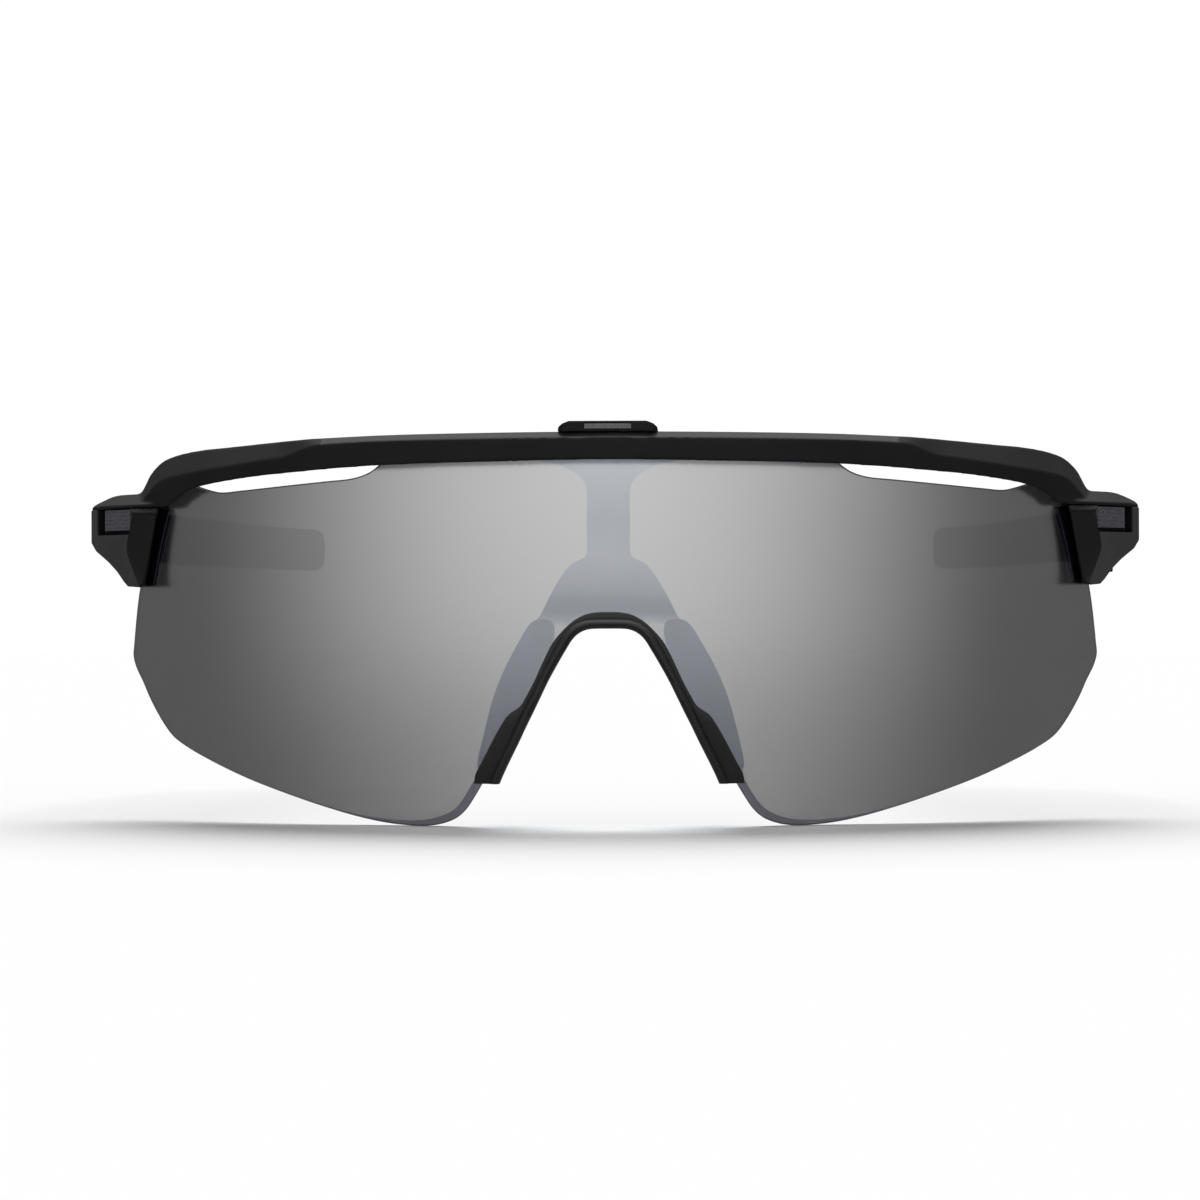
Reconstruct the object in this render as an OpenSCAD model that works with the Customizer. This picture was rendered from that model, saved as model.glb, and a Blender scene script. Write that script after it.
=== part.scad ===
// Wraparound sport sunglasses with a one-piece shield lens.
// X runs across the face (+X is the wearer's left), Y runs from the lens back to the temple tips,
// and Z is up. The origin is under the middle of the object, level with the lowest point of the lens.

/* [Lens] */
// Thickness of the shield lens
lens_t = 2.0; // [1.8:0.1:2.2]
// Radius of the lens seen from above
lens_plan_r = 82; // [81.5:0.1:82.5]
// Radius of the lens seen from the side
lens_side_r = 150; // [140:5:170]

/* [Half-frame] */
// How far the brow bar stands in front of the lens
bar_proud = 1.2; // [1.0:0.1:1.4]
// Thickness of the brow bar from front to back
bar_depth = 5.4; // [5.2:0.1:5.6]
// Depth of the chamfer along the top front edge
bar_chamfer = 0.7; // [0.5:0.1:0.9]
// How far the sloped facets at the ends lean back
facet_lean = 3.0; // [2.4:0.2:3.2]

/* [Nose] */
// How far the lips of the nose clip stand off the lens
clip_lip = 0.9; // [0.7:0.1:1.0]
// Thickness of the spine behind the lens
spine_t = 1.8; // [1.5:0.1:2.0]
// Thickness of the soft nose pads
pad_t = 3.0; // [2.6:0.1:3.2]

/* [Temples] */
// Distance from the front of the lens to the end of the temples
temple_end = 160; // [156:1:164]
// Height of the temples
temple_h = 6.9; // [6.4:0.1:7.0]
// Length of the rubber sleeves
sleeve_len = 54; // [50:1:58]

/* [Hinges] */
// Radius of the hinge screws' shanks
screw_r = 0.8; // [0.7:0.05:0.85]
// Radial clearance of the turning parts on their screws and pins
run_gap = 0.05; // [0.03:0.01:0.08]
// Gap between parts that are clipped or pushed together
seat_gap = 0.05; // [0.03:0.01:0.08]

/* [Hidden] */

// Overall frame
bar_front = -bar_proud;
mid_y = (bar_front + temple_end) / 2;
lens_mid_z = 32;
frame_half_w = 73.3;
far = 200;

// Brow bar, seen from the front: the right half of its outline
bar_r_out = lens_plan_r + bar_proud;
bar_r_in = bar_r_out - bar_depth;
bar_top = [[0, 52.1], [33.9, 51.9], [45.9, 51.4], [54.6, 50.9], [59.9, 50.3], [62.1, 49.5],
    [64.1, 48.0], [65.5, 46.4], [65.9, 45.5]];
bar_end_bottom_z = 43.1;
bar_bottom = [[60.9, bar_end_bottom_z], [60.4, 43.9], [58.9, 44.9], [55, 46.0], [49.4, 46.7],
    [41.5, 47.25], [31.4, 47.8], [0, 48.3]];
bar_top_z = 52.1;
chamfer_z = 51.3;
facet_start_x = 40;
facet_full_x = 44.6;
facet_z = 48.3;

// Side lug, seen from the front and from above
lug_front = [[61, bar_end_bottom_z], [73.3, bar_end_bottom_z], [73.0, 43.4], [71.9, 43.9],
    [69.8, 44.8], [65.9, 45.5], [62, 45.8]];
lug_plan = [[62.6, 27.4], [64.4, 28.2], [67.8, 30.9], [73.3, 37.4], [73.3, 45.0], [71.5, 46.8],
    [66.0, 45.0], [62.6, 38.5]];

// Lens outline, right half, from the middle of the top edge round to the nose notch
lens_notch_half_w = 2.2;
lens_notch_z = 48.9;
lens_edge = [[lens_notch_half_w, lens_notch_z], [lens_notch_half_w, 49.8], [29.5, 49.5],
    [30.9, 47.8], [32.0, 47.0], [34.1, 46.3], [42.5, 45.7], [50.4, 45.1], [53.5, 44.9],
    [54.9, 45.3], [56.2, 45.6], [57.5, 46.2], [60.4, 45.8], [63.5, 43.0], [65.95, 32.0],
    [66.4, 30.6], [67.25, 24], [67.35, 22.4], [67.05, 21.0], [65.95, 19.2], [64.5, 16.2],
    [62.4, 12.9], [60.9, 11.3], [58.4, 9.7], [55.3, 8.25], [49.7, 6.0], [41.9, 3.2], [38, 2.2], [30.5, 0.4],
    [27.5, 0.05], [24.3, 0], [22.2, 0.35], [20.3, 1.1], [19.2, 2.0], [17.9, 3.7], [16.4, 6.0],
    [13.1, 11.5], [11.2, 15.2], [8.9, 20.1], [6.2, 25.0], [4.9, 26.5], [3.2, 27.2]];

// Nose clip, right half: outer line from the top down at the front, the same behind the lens where
// the spine leaves less room, then the inner line back up
clip_outer = [[1.5, 28.4], [3.9, 27.5], [6.2, 25.6], [7.9, 23.3], [9.6, 19.6], [11.3, 16.6],
    [13.6, 14.5], [14.0, 13.9], [17.6, 6.3], [17.4, 5.7]];
clip_back_outer = [[1.3, 27.6], [3.5, 26.8], [5.4, 25.1], [7.0, 22.9], [8.7, 19.5], [10.3, 16.4],
    [12.6, 14.0], [13.1, 13.3], [16.6, 6.3], [16.5, 5.7]];
clip_inner = [[14.5, 5.7], [14.1, 6.7], [12.1, 10.8], [10.2, 14.5], [7.9, 19.4], [5.0, 24.5],
    [3.9, 25.6], [2.4, 26.2]];

// Spine behind the lens: its gap to the lens
spine_gap = 0.15;
// Spine and its shoulders, right half, from the top down and back up inside the arch
spine_outer = [[10.4, 50.2], [10.4, 47.0], [8.4, 46.0], [4.4, 44.8], [2.95, 43.2], [2.95, 35.6],
    [4.3, 34.7], [5.6, 33.2], [7.6, 29.7], [9.6, 27.4], [10.6, 25.0], [10.2, 23.6]];
spine_inner = [[8.2, 22.6], [7.4, 23.4], [5.7, 25.4], [3.7, 27.1], [1.4, 27.9]];

// Nose pads: inner and outer edges and depth from front to back, at each height
pad_pivot = [8.9, 25.2];
pad_boss_r = 0.9;
pad_front_gap = spine_gap + spine_t + 0.4;
pad_heights = [7.2, 9.0, 12.4, 17.0, 21.0, 25.0, 27.4];
pad_inner = [[7.2, 16.5], [9.0, 15.1], [12.4, 13.0], [17.0, 10.4], [21.0, 8.6], [25.0, 7.2],
    [27.4, 7.2]];
pad_outer = [[7.2, 17.6], [9.0, 17.6], [12.4, 16.7], [17.0, 15.2], [21.0, 13.4], [25.0, 11.3],
    [27.4, 9.2]];
pad_depth = [[7.2, 5.6], [9.0, 7.6], [12.4, 9.0], [17.0, 9.2], [21.0, 8.4], [25.0, 6.5],
    [27.4, 4.0]];
pad_wall = 0.95;
core_heights = [12.4, 17.0, 21.0, 25.9];

// Side block, seen from the front and from above
block_top_z = 43.0;
block_front = [[62.6, block_top_z], [73.3, block_top_z], [73.3, 38.4], [72.5, 37.2],
    [70.5, 35.7], [69.0, 34.3], [67.9, 32.9], [67.2, 32.2], [64.7, 32.2]];
ear_front = [[60, block_top_z], [73.3, block_top_z], [73.3, 38.4], [72.5, 37.2], [70.9, 36.2],
    [70.0, 35.4], [70.0, 32.2], [60, 32.2]];
block_ridge = [66.8, 29.6];
block_corner = [73.3, 37.2];
block_plan = [[62.6, 27.0], block_ridge, block_corner, [73.3, 41.6], [65.4, 41.6], [62.6, 36.6]];
slot_wall = 0.6;
window_w = [0.3, 7.2];
window_z = [40.0, 43.0];
pocket_w = [0.25, 8.5];
pocket_z = 39.4;
pocket_depth = 1.55;
insert_depth = [0.45, 1.5];

// Hinge
pivot = [67.4, 44.6];
ear_r = 2.5;
ear_low_z = 34.0;
mouth_z = [36.1, 40.7];
knuckle_r = 2.4;
knuckle_gap = 0.1;
cover_wall = [71.3, 73.1];
screw_head_r = 1.5;
screw_head_h = 0.9;
insert_r = 1.5;
insert_z = [40.75, 42.6];
block_screw_at = [68.3, 39.0];
block_screw_top_z = 44.2;
block_screw_r = 0.7;
block_screw_low_z = 35.8;
block_screw_head_r = 1.25;
block_screw_head_z = [35.4, 36.15];
// Heights that every cut through a block starts below and ends above
cut_low = 30;
cut_high = 50;
pin_fit = 0.02;

// Temples, seen from above
temple_start = 47.5;
temple_mid_z = 39.55;
root_inner_x = 66.8;
tip_inner_x = 50.9;
root_t = 5.6;
mid_t = 4.2;
tip_t = 3.6;
root_len = 9;
bend_start = 112;
straight_slope = 0.104;
bend_pull = root_inner_x - straight_slope * (temple_end - temple_start) - tip_inner_x;
sleeve_wall = 0.8;
core_r = 0.7;
core_start = 92;
tenon_len = 9;

// Latch
latch_pivot = [4.2, 52.65];
latch_half_w = 6.6;
latch_z = [52.18, 53.45];
latch_top_half_w = 5.1;
latch_corner = 0.8;
latch_front = -0.4;
latch_eye_r = 0.8;
latch_pin_r = 0.4;
latch_ear_half_w = 2.0;
latch_hook_half_w = 1.8;
hook_slot_half_w = 2.1;
hook_slot_y = [-0.35, 2.3];
hook_y = [1.2, 2.0];
grip_half_w = 3.1;
grip_z = [52.42, 53.12];
grip_proud = 0.1;
grip_t = 0.65;
grip_pocket = 0.6;
latch_shoulder = [0.6, 0.35];

latch_shoulder_at = [latch_half_w - latch_shoulder[0], latch_z[1] - latch_shoulder[1]];
lever_front = [[0, latch_z[1]], [latch_top_half_w, latch_z[1]],
    latch_shoulder_at, [latch_half_w - 0.1, latch_z[1] - latch_corner],
    [latch_half_w, latch_z[0]], [0, latch_z[0]]];

// Radius of the lens at height z, a distance t behind its front surface
function shell_r(z, t = 0) =
    lens_plan_r - lens_side_r + sqrt(pow(lens_side_r - t, 2) - pow(z - lens_mid_z, 2));
// Depth of that surface at (x, z)
function shell_y(x, z, t = 0) = lens_plan_r - sqrt(pow(shell_r(z, t), 2) - x * x);
// A right half outline with its mirror image
function both_halves(pts) =
    concat(pts, [for (i = [len(pts) - 1:-1:0]) [-pts[i][0], pts[i][1]]]);
// Inner face of the left temple at depth y
function temple_inner(y) =
    let (bent = max(0, y - bend_start), end_bend = temple_end - bend_start)
    root_inner_x - straight_slope * (y - temple_start) - bend_pull * pow(bent / end_bend, 2);
// Thickness of the temple at depth y
function temple_t(y) = lookup(y, [[temple_start, root_t], [temple_start + root_len, mid_t],
    [bend_start, mid_t - 0.3], [temple_end, tip_t]]);
// Evenly spaced stations, at most step apart
function stations(from, to, step) = [for (i = [0:ceil((to - from) / step)])
    from + (to - from) * i / ceil((to - from) / step)];
// Stations along a temple: its ends and corners where it is straight, then close where it bends
function temple_stations(y0, y1) = let (taper_end = temple_start + root_len)
    concat([y0], taper_end > y0 && taper_end < y1 ? [taper_end] : [],
        y1 <= bend_start ? [y1] : stations(max(y0 + 0.5, bend_start), y1, 4));

// Puts everything over the origin
module placed() {
    translate([0, -mid_y, 0]) children();
}

// Puts a part of the wearer's left side on side s: 1 is left, -1 is right
module on_side(s) {
    mirror([s < 0 ? 1 : 0, 0, 0]) children();
}

// A front-view outline extruded from depth y0 to y1, grown by a margin if asked
module front_outline(pts, y0 = -20, y1 = 60, grow = 0) {
    translate([0, y1, 0]) rotate([90, 0, 0]) linear_extrude(y1 - y0)
        if (grow == 0)
            polygon(pts);
        else
            offset(delta = grow) polygon(pts);
}

// A plan outline extruded from height z0 to z1
module plan_outline(pts, z0, z1) {
    translate([0, 0, z0]) linear_extrude(z1 - z0) polygon(pts);
}

module post(at, r, z0, z1) {
    translate([at[0], at[1], z0]) cylinder(r = r, h = z1 - z0, $fn = 64);
}

// The front half turn of a profile about the lens's vertical axis
module lens_turn() {
    translate([0, lens_plan_r, 0]) rotate([0, 0, 180])
        rotate_extrude(angle = 180, $fn = 360) children();
}

// The doubly curved skin from t0 to t1 behind the lens's front surface
module shell(t0, t1) {
    lens_turn() intersection() {
        translate([lens_plan_r - lens_side_r, lens_mid_z]) difference() {
            circle(r = lens_side_r - t0, $fn = 720);
            circle(r = lens_side_r - t1, $fn = 720);
        }
        translate([40, -2]) square([60, 60]);
    }
}

module lens_body(grow = 0) {
    intersection() {
        shell(-grow, lens_t + grow);
        front_outline(both_halves(lens_edge), grow = grow);
    }
}

module lens() {
    color([0.55, 0.56, 0.58]) placed() lens_body();
}

// Brow bar
module bar_ring() {
    top = bar_top_z + 4;
    lens_turn() polygon([[bar_r_in, 40], [bar_r_out, 40], [bar_r_out, chamfer_z],
        [bar_r_out - bar_chamfer, bar_top_z], [bar_r_out - bar_chamfer, top], [bar_r_in, top]]);
}

// What is cut off above the ridge to leave the sloped facet at each end
module facet_cut() {
    drop = bar_top_z - facet_z;
    intersection() {
        lens_turn() polygon([[bar_r_out + 5, facet_z], [bar_r_out, facet_z],
            [bar_r_out - facet_lean, bar_top_z], [bar_r_out - facet_lean, bar_top_z + 2],
            [bar_r_out + 5, bar_top_z + 2]]);
        front_outline([[facet_start_x, bar_top_z + 3], [facet_start_x, chamfer_z],
            [facet_full_x, facet_z - 1], [80, facet_z - 1], [80, bar_top_z + 3]]);
    }
}

module lug() {
    intersection() {
        front_outline(lug_front);
        plan_outline(lug_plan, 40, 50);
    }
}

// Upright ear on the bar that carries the latch pin
module latch_ear() {
    foot_z = bar_top_z - 1;
    cross_rod(latch_ear_half_w, latch_eye_r);
    translate([-latch_ear_half_w, latch_pivot[0] - latch_eye_r, foot_z])
        cube([2 * latch_ear_half_w, 2 * latch_eye_r, latch_pivot[1] - foot_z]);
    translate([-latch_ear_half_w, latch_pivot[0] - 1.5, foot_z])
        cube([2 * latch_ear_half_w, 1.5 + latch_eye_r, 0.9]);
}

// Round rod along the latch's axis
module cross_rod(half_w, r) {
    translate([-half_w, latch_pivot[0], latch_pivot[1]]) rotate([0, 90, 0])
        cylinder(r = r, h = 2 * half_w, $fn = 64);
}

module brow_bar() {
    color([0.09, 0.09, 0.1]) placed() difference() {
        union() {
            intersection() {
                bar_ring();
                front_outline(both_halves(concat(bar_top, bar_bottom_tail())));
            }
            lug();
            mirror([1, 0, 0]) lug();
            latch_ear();
        }
        facet_cut();
        mirror([1, 0, 0]) facet_cut();
        lens_body(seat_gap);
        spine_body(seat_gap);
        translate([-hook_slot_half_w, hook_slot_y[0], lens_notch_z])
            cube([2 * hook_slot_half_w, hook_slot_y[1] - hook_slot_y[0], 5]);
        cross_rod(latch_half_w, latch_pin_r + pin_fit);
        for (s = [-1, 1]) on_side(s)
            post(block_screw_at, block_screw_r + pin_fit, 40, block_screw_top_z + 0.1);
    }
}

// The bar's lower outline, joined to the top one at the lug
function bar_bottom_tail() = concat([[65.9, bar_end_bottom_z]], bar_bottom);

// Spine behind the lens
module spine_body(grow = 0) {
    t0 = lens_t + spine_gap;
    intersection() {
        shell(t0 - grow, t0 + spine_t + grow);
        front_outline(both_halves(concat(spine_outer, spine_inner)), grow = grow);
    }
}

module bridge_spine() {
    color([0.16, 0.16, 0.17]) placed() difference() {
        spine_body();
        for (s = [-1, 1]) pad_boss(s, run_gap);
    }
}

module nose_clip() {
    color([0.08, 0.08, 0.09]) placed() difference() {
        union() {
            intersection() {
                shell(-clip_lip, lens_t);
                front_outline(both_halves(concat(clip_outer, clip_inner)));
            }
            intersection() {
                shell(lens_t - 0.5, lens_t + clip_lip);
                front_outline(both_halves(concat(clip_back_outer, clip_inner)));
            }
        }
        lens_body(seat_gap);
    }
}

// Nose pads
module pad_boss(s, grow = 0) {
    depth = shell_y(pad_pivot[0], pad_pivot[1], lens_t);
    translate([s * pad_pivot[0], depth + 0.45, pad_pivot[1]]) rotate([-90, 0, 0])
        cylinder(r = pad_boss_r + grow, h = 6.0, $fn = 64);
}

// Section of a pad at height z, drawn in by the distance inset on every side
function pad_ring(z, inset) =
    let (x0 = lookup(z, pad_inner) + inset, x1 = lookup(z, pad_outer) - inset)
    let (y0 = shell_y(lookup(z, pad_inner), z, lens_t) + pad_front_gap + inset)
    let (y1 = y0 + lookup(z, pad_depth) - 2 * inset)
    let (w = min(pad_t - 2 * inset, (x1 - x0) * 0.75))
    [[x0, y0, z], [x0 + w, y0, z], [x1, y1 - w * 0.5, z], [x1, y1, z], [x1 - w, y1, z],
        [x0, y0 + w, z]];

// Closed skin over rows of rings with the same number of points
module skin(rings) {
    n = len(rings[0]);
    last = len(rings) - 1;
    sides = [for (k = [0:last - 1]) for (i = [0:n - 1]) each [
        [k * n + i, (k + 1) * n + i, (k + 1) * n + (i + 1) % n],
        [k * n + i, (k + 1) * n + (i + 1) % n, k * n + (i + 1) % n]]];
    first_cap = [for (i = [1:n - 2]) [0, i, i + 1]];
    last_cap = [for (i = [1:n - 2]) [last * n, last * n + i + 1, last * n + i]];
    polyhedron(points = [for (ring = rings) each ring], faces = concat(sides, first_cap, last_cap));
}

module pad_skin(s, heights, inset) {
    on_side(s) skin([for (z = heights) pad_ring(z, inset)]);
}

module nose_pad(s) {
    color([0.2, 0.2, 0.21]) placed() difference() {
        pad_skin(s, pad_heights, 0);
        pad_skin(s, core_heights, pad_wall);
        pad_boss(s, pin_fit);
    }
}

module pad_core(s) {
    color([0.5, 0.5, 0.5]) placed() {
        pad_skin(s, core_heights, pad_wall + seat_gap);
        pad_boss(s);
    }
}

// Side block and what is in it
module block_face(span, depth0, depth1, z0, z1) {
    run = block_corner - block_ridge;
    along = run / norm(run);
    inward = [-along[1], along[0]];
    a = block_ridge + along * span[0];
    b = block_ridge + along * span[1];
    plan_outline([a + inward * depth0, b + inward * depth0, b + inward * depth1,
        a + inward * depth1], z0, z1);
}

module hinge_ear(z0, z1) {
    post(pivot, ear_r, z0, z1);
    plan_outline([[pivot[0] - 1.9, 41.0], [cover_wall[1], 41.0], [cover_wall[1] - 0.3, 47.2],
        [cover_wall[0] - 1.0, 47.2], [pivot[0] + 2.0, pivot[1] + 1.5],
        [pivot[0] - ear_r + 0.05, pivot[1] - 0.3]], z0, z1);
}

module block_solid() {
    intersection() {
        plan_outline(block_plan, 30, block_top_z);
        front_outline(block_front);
    }
    intersection() {
        union() {
            hinge_ear(mouth_z[1], block_top_z);
            hinge_ear(ear_low_z, mouth_z[0]);
            plan_outline([[cover_wall[0], 41.0], [cover_wall[1], 41.0],
                [cover_wall[1] - 0.3, 47.2], [cover_wall[0], 47.2]], ear_low_z, block_top_z);
        }
        front_outline(ear_front);
    }
}

module lens_slot(margin, edge) {
    intersection() {
        shell(-margin, lens_t + margin);
        front_outline([[61.4, 43.0], [61.4, 42.3], [63.8, 32.5], [63.9, 31], [66.2 + edge, 31],
            [65.9 + edge, 32.4], [63.5 + edge, 43.0]]);
    }
}

module side_block(s) {
    color([0.1, 0.1, 0.11]) placed() on_side(s) difference() {
        block_solid();
        lens_slot(slot_wall, 0.65);
        block_face(pocket_w, -1, pocket_depth, pocket_z, block_top_z + 1);
        post(pivot, screw_r + pin_fit, cut_low, mouth_z[1]);
        post(pivot, screw_head_r + pin_fit, cut_low, ear_low_z + screw_head_h);
        post(pivot, insert_r + pin_fit, mouth_z[1] - 1, insert_z[1] + pin_fit);
        post(block_screw_at, block_screw_r + pin_fit, cut_low, cut_high);
        post(block_screw_at, block_screw_head_r + seat_gap, cut_low,
            block_screw_head_z[1] + seat_gap);
    }
}

module side_insert(s) {
    color([0.3, 0.3, 0.31]) placed() on_side(s)
        block_face(window_w, insert_depth[0], insert_depth[1], window_z[0], block_top_z - 0.1);
}

module lens_gasket(s) {
    color([0.05, 0.05, 0.05]) placed() on_side(s) difference() {
        lens_slot(slot_wall - seat_gap, 0.6);
        lens_body(pin_fit);
        front_outline([[50, 42.9], [80, 42.9], [80, 60], [50, 60]]);
        front_outline([[50, 20], [80, 20], [80, 32.3], [50, 32.3]]);
    }
}

module block_screw(s) {
    color([0.55, 0.56, 0.58]) placed() on_side(s) difference() {
        union() {
            post(block_screw_at, block_screw_r, block_screw_low_z, block_screw_top_z);
            post(block_screw_at, block_screw_head_r, block_screw_head_z[0], block_screw_head_z[1]);
        }
        screw_slot(block_screw_at, block_screw_head_z[0], block_screw_head_r);
    }
}

// Driver slot across the underside of a screw head
module screw_slot(at, z, r) {
    translate([at[0] - r, at[1] - 0.15, z - 0.1]) cube([2 * r, 0.3, 0.45]);
}

module hinge_screw(s) {
    color([0.6, 0.61, 0.63]) placed() on_side(s) difference() {
        union() {
            post(pivot, screw_r, ear_low_z + 0.2, insert_z[1] - 0.1);
            post(pivot, screw_head_r, ear_low_z + 0.05, ear_low_z + screw_head_h - 0.02);
        }
        screw_slot(pivot, ear_low_z + 0.05, screw_head_r);
    }
}

module hinge_insert(s) {
    color([0.72, 0.58, 0.3]) placed() on_side(s) difference() {
        post(pivot, insert_r, insert_z[0], insert_z[1]);
        post(pivot, screw_r + pin_fit, insert_z[0] - 1, insert_z[1] + 1);
    }
}

// Latch on the top of the bar
module latch_lever() {
    color([0.1, 0.1, 0.11]) placed() difference() {
        union() {
            intersection() {
                translate([-latch_half_w, latch_front, latch_z[0]])
                    linear_extrude(latch_z[1] - latch_z[0]) lever_plan();
                front_outline(both_halves(lever_front));
            }
            intersection() {
                cross_rod(latch_half_w - 1.6, latch_eye_r);
                translate([-10, 0, latch_z[0]]) cube([20, 10, 5]);
            }
            translate([-latch_hook_half_w, hook_y[0], lens_notch_z + 0.25])
                cube([2 * latch_hook_half_w, hook_y[1] - hook_y[0], 4]);
        }
        translate([-latch_ear_half_w - 0.1, latch_pivot[0] - 1.7, 50])
            cube([2 * latch_ear_half_w + 0.2, 5, 8]);
        cross_rod(latch_half_w, latch_pin_r + run_gap);
        translate([-grip_half_w - pin_fit, latch_front - 1, grip_z[0] - pin_fit])
            cube([2 * (grip_half_w + pin_fit), 1 + grip_pocket + pin_fit,
                  grip_z[1] - grip_z[0] + 2 * pin_fit]);
        translate([-20, -20, latch_z[1]]) cube([40, 40, 5]);
    }
}

// Lever seen from above: rounded at the front, straight across the pin at the back
module lever_plan() {
    w = 2 * latch_half_w;
    d = latch_pivot[0] - latch_front;
    r = 1.2;
    translate([r, 0]) square([w - 2 * r, d]);
    translate([0, r]) square([w, d - r]);
    for (x = [r, w - r]) translate([x, r]) circle(r = r, $fn = 48);
}

module latch_grip() {
    color([0.45, 0.45, 0.46]) placed()
        translate([-grip_half_w, latch_front - grip_proud, grip_z[0]])
        cube([2 * grip_half_w, grip_t, grip_z[1] - grip_z[0]]);
}

module latch_pin() {
    color([0.6, 0.61, 0.63]) placed() cross_rod(latch_half_w - 1.7, latch_pin_r);
}

// Temples
module temple_slab(y0, y1, inset_x, inset_z) {
    ys = temple_stations(y0, y1);
    inner = [for (y = ys) [temple_inner(y) + inset_x, y]];
    outer = [for (i = [len(ys) - 1:-1:0])
        [temple_inner(ys[i]) + temple_t(ys[i]) - inset_x, ys[i]]];
    half = temple_h / 2 - inset_z;
    plan_outline(concat(inner, outer), temple_mid_z - half, temple_mid_z + half);
}

module temple_core_rod(y0, y1, r) {
    ys = stations(y0, y1, 5);
    skin([for (y = ys) [for (i = [7:-1:0]) [temple_inner(y) + temple_t(y) / 2 + r * cos(45 * i),
        y, temple_mid_z + r * sin(45 * i)]]]);
}

// Cuts the corners off the end of the temple, seen from the side
module tip_rounding() {
    half = temple_h / 2;
    r = 3.0;
    for (s = [-1, 1]) difference() {
        translate([30, temple_end - r, temple_mid_z + (s < 0 ? -half - 1 : half - r)])
            cube([60, r + 1, r + 1]);
        translate([0, temple_end - r, temple_mid_z + s * (half - r)]) rotate([0, 90, 0])
            cylinder(r = r, h = 100, $fn = 64);
    }
}

module temple_arm(s) {
    sleeve_start = temple_end - sleeve_len;
    color([0.1, 0.1, 0.11]) placed() on_side(s) difference() {
        union() {
            temple_slab(temple_start, sleeve_start, 0, 0);
            temple_slab(sleeve_start - 0.1, sleeve_start + tenon_len, sleeve_wall, sleeve_wall);
            post(pivot, knuckle_r, mouth_z[0] + knuckle_gap, mouth_z[1] - knuckle_gap);
            plan_outline([[pivot[0] - 0.6, pivot[1]], [pivot[0] + 2.35, pivot[1]],
                [pivot[0] + 2.7, temple_start + 0.1], [pivot[0] - 0.6, temple_start + 0.1]],
                mouth_z[0] + knuckle_gap, mouth_z[1] - knuckle_gap);
        }
        post(pivot, screw_r + run_gap, cut_low, cut_high);
        temple_core_rod(core_start - 0.05, temple_end - 20, core_r + pin_fit);
    }
}

module temple_core(s) {
    color([0.6, 0.61, 0.63]) placed() on_side(s)
        temple_core_rod(core_start, temple_end - 8, core_r);
}

module tip_sleeve(s) {
    sleeve_start = temple_end - sleeve_len;
    color([0.07, 0.07, 0.07]) placed() on_side(s) difference() {
        temple_slab(sleeve_start + seat_gap, temple_end, 0, 0);
        temple_slab(sleeve_start - 1, sleeve_start + tenon_len + seat_gap,
            sleeve_wall - pin_fit, sleeve_wall - pin_fit);
        temple_core_rod(sleeve_start, temple_end - 8 + pin_fit, core_r + pin_fit);
        tip_rounding();
    }
}

brow_bar();
lens();
bridge_spine();
nose_clip();
nose_pad(1);  // left_nose_pad
nose_pad(-1);  // right_nose_pad
pad_core(1);  // left_pad_core
pad_core(-1);  // right_pad_core
side_block(1);  // left_side_block
side_block(-1);  // right_side_block
side_insert(1);  // left_side_insert
side_insert(-1);  // right_side_insert
lens_gasket(1);  // left_lens_gasket
lens_gasket(-1);  // right_lens_gasket
block_screw(1);  // left_block_screw
block_screw(-1);  // right_block_screw
hinge_screw(1);  // left_hinge_screw
hinge_screw(-1);  // right_hinge_screw
hinge_insert(1);  // left_hinge_insert
hinge_insert(-1);  // right_hinge_insert
latch_lever();
latch_grip();
latch_pin();
temple_arm(1);  // left_temple_arm
temple_arm(-1);  // right_temple_arm
temple_core(1);  // left_temple_core
temple_core(-1);  // right_temple_core
tip_sleeve(1);  // left_tip_sleeve
tip_sleeve(-1);  // right_tip_sleeve
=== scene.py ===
"""Wraparound sport sunglasses: the visible pieces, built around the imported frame.

Shape tables are in millimetres and measured as the part is: x from the middle of the face, d back from
the front of the lens, z up from the lowest point of the lens. at() turns them into the frame's metres.
"""
import math

import bmesh
import bpy
from mathutils import Euler, Matrix, Vector


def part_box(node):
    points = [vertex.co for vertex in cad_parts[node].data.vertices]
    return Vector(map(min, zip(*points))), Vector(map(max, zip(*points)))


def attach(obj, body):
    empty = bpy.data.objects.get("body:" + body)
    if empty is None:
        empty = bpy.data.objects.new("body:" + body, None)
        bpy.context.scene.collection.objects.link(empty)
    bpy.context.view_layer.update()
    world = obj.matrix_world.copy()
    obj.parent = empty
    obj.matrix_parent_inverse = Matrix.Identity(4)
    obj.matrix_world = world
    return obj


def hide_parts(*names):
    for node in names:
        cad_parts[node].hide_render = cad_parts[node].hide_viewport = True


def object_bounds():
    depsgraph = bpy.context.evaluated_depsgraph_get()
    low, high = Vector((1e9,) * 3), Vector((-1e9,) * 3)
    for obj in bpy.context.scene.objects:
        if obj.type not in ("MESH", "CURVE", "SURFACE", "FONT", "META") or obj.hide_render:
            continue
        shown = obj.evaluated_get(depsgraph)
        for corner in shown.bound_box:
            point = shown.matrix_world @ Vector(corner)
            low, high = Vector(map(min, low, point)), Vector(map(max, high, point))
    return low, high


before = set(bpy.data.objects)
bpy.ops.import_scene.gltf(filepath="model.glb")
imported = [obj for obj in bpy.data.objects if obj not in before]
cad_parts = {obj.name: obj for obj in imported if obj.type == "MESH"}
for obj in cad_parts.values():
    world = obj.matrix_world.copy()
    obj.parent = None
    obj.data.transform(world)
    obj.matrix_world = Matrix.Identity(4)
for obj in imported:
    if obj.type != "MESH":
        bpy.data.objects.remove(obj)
cad_low, cad_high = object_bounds()

MM = 0.001
LENS_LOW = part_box("lens")[0]

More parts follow.
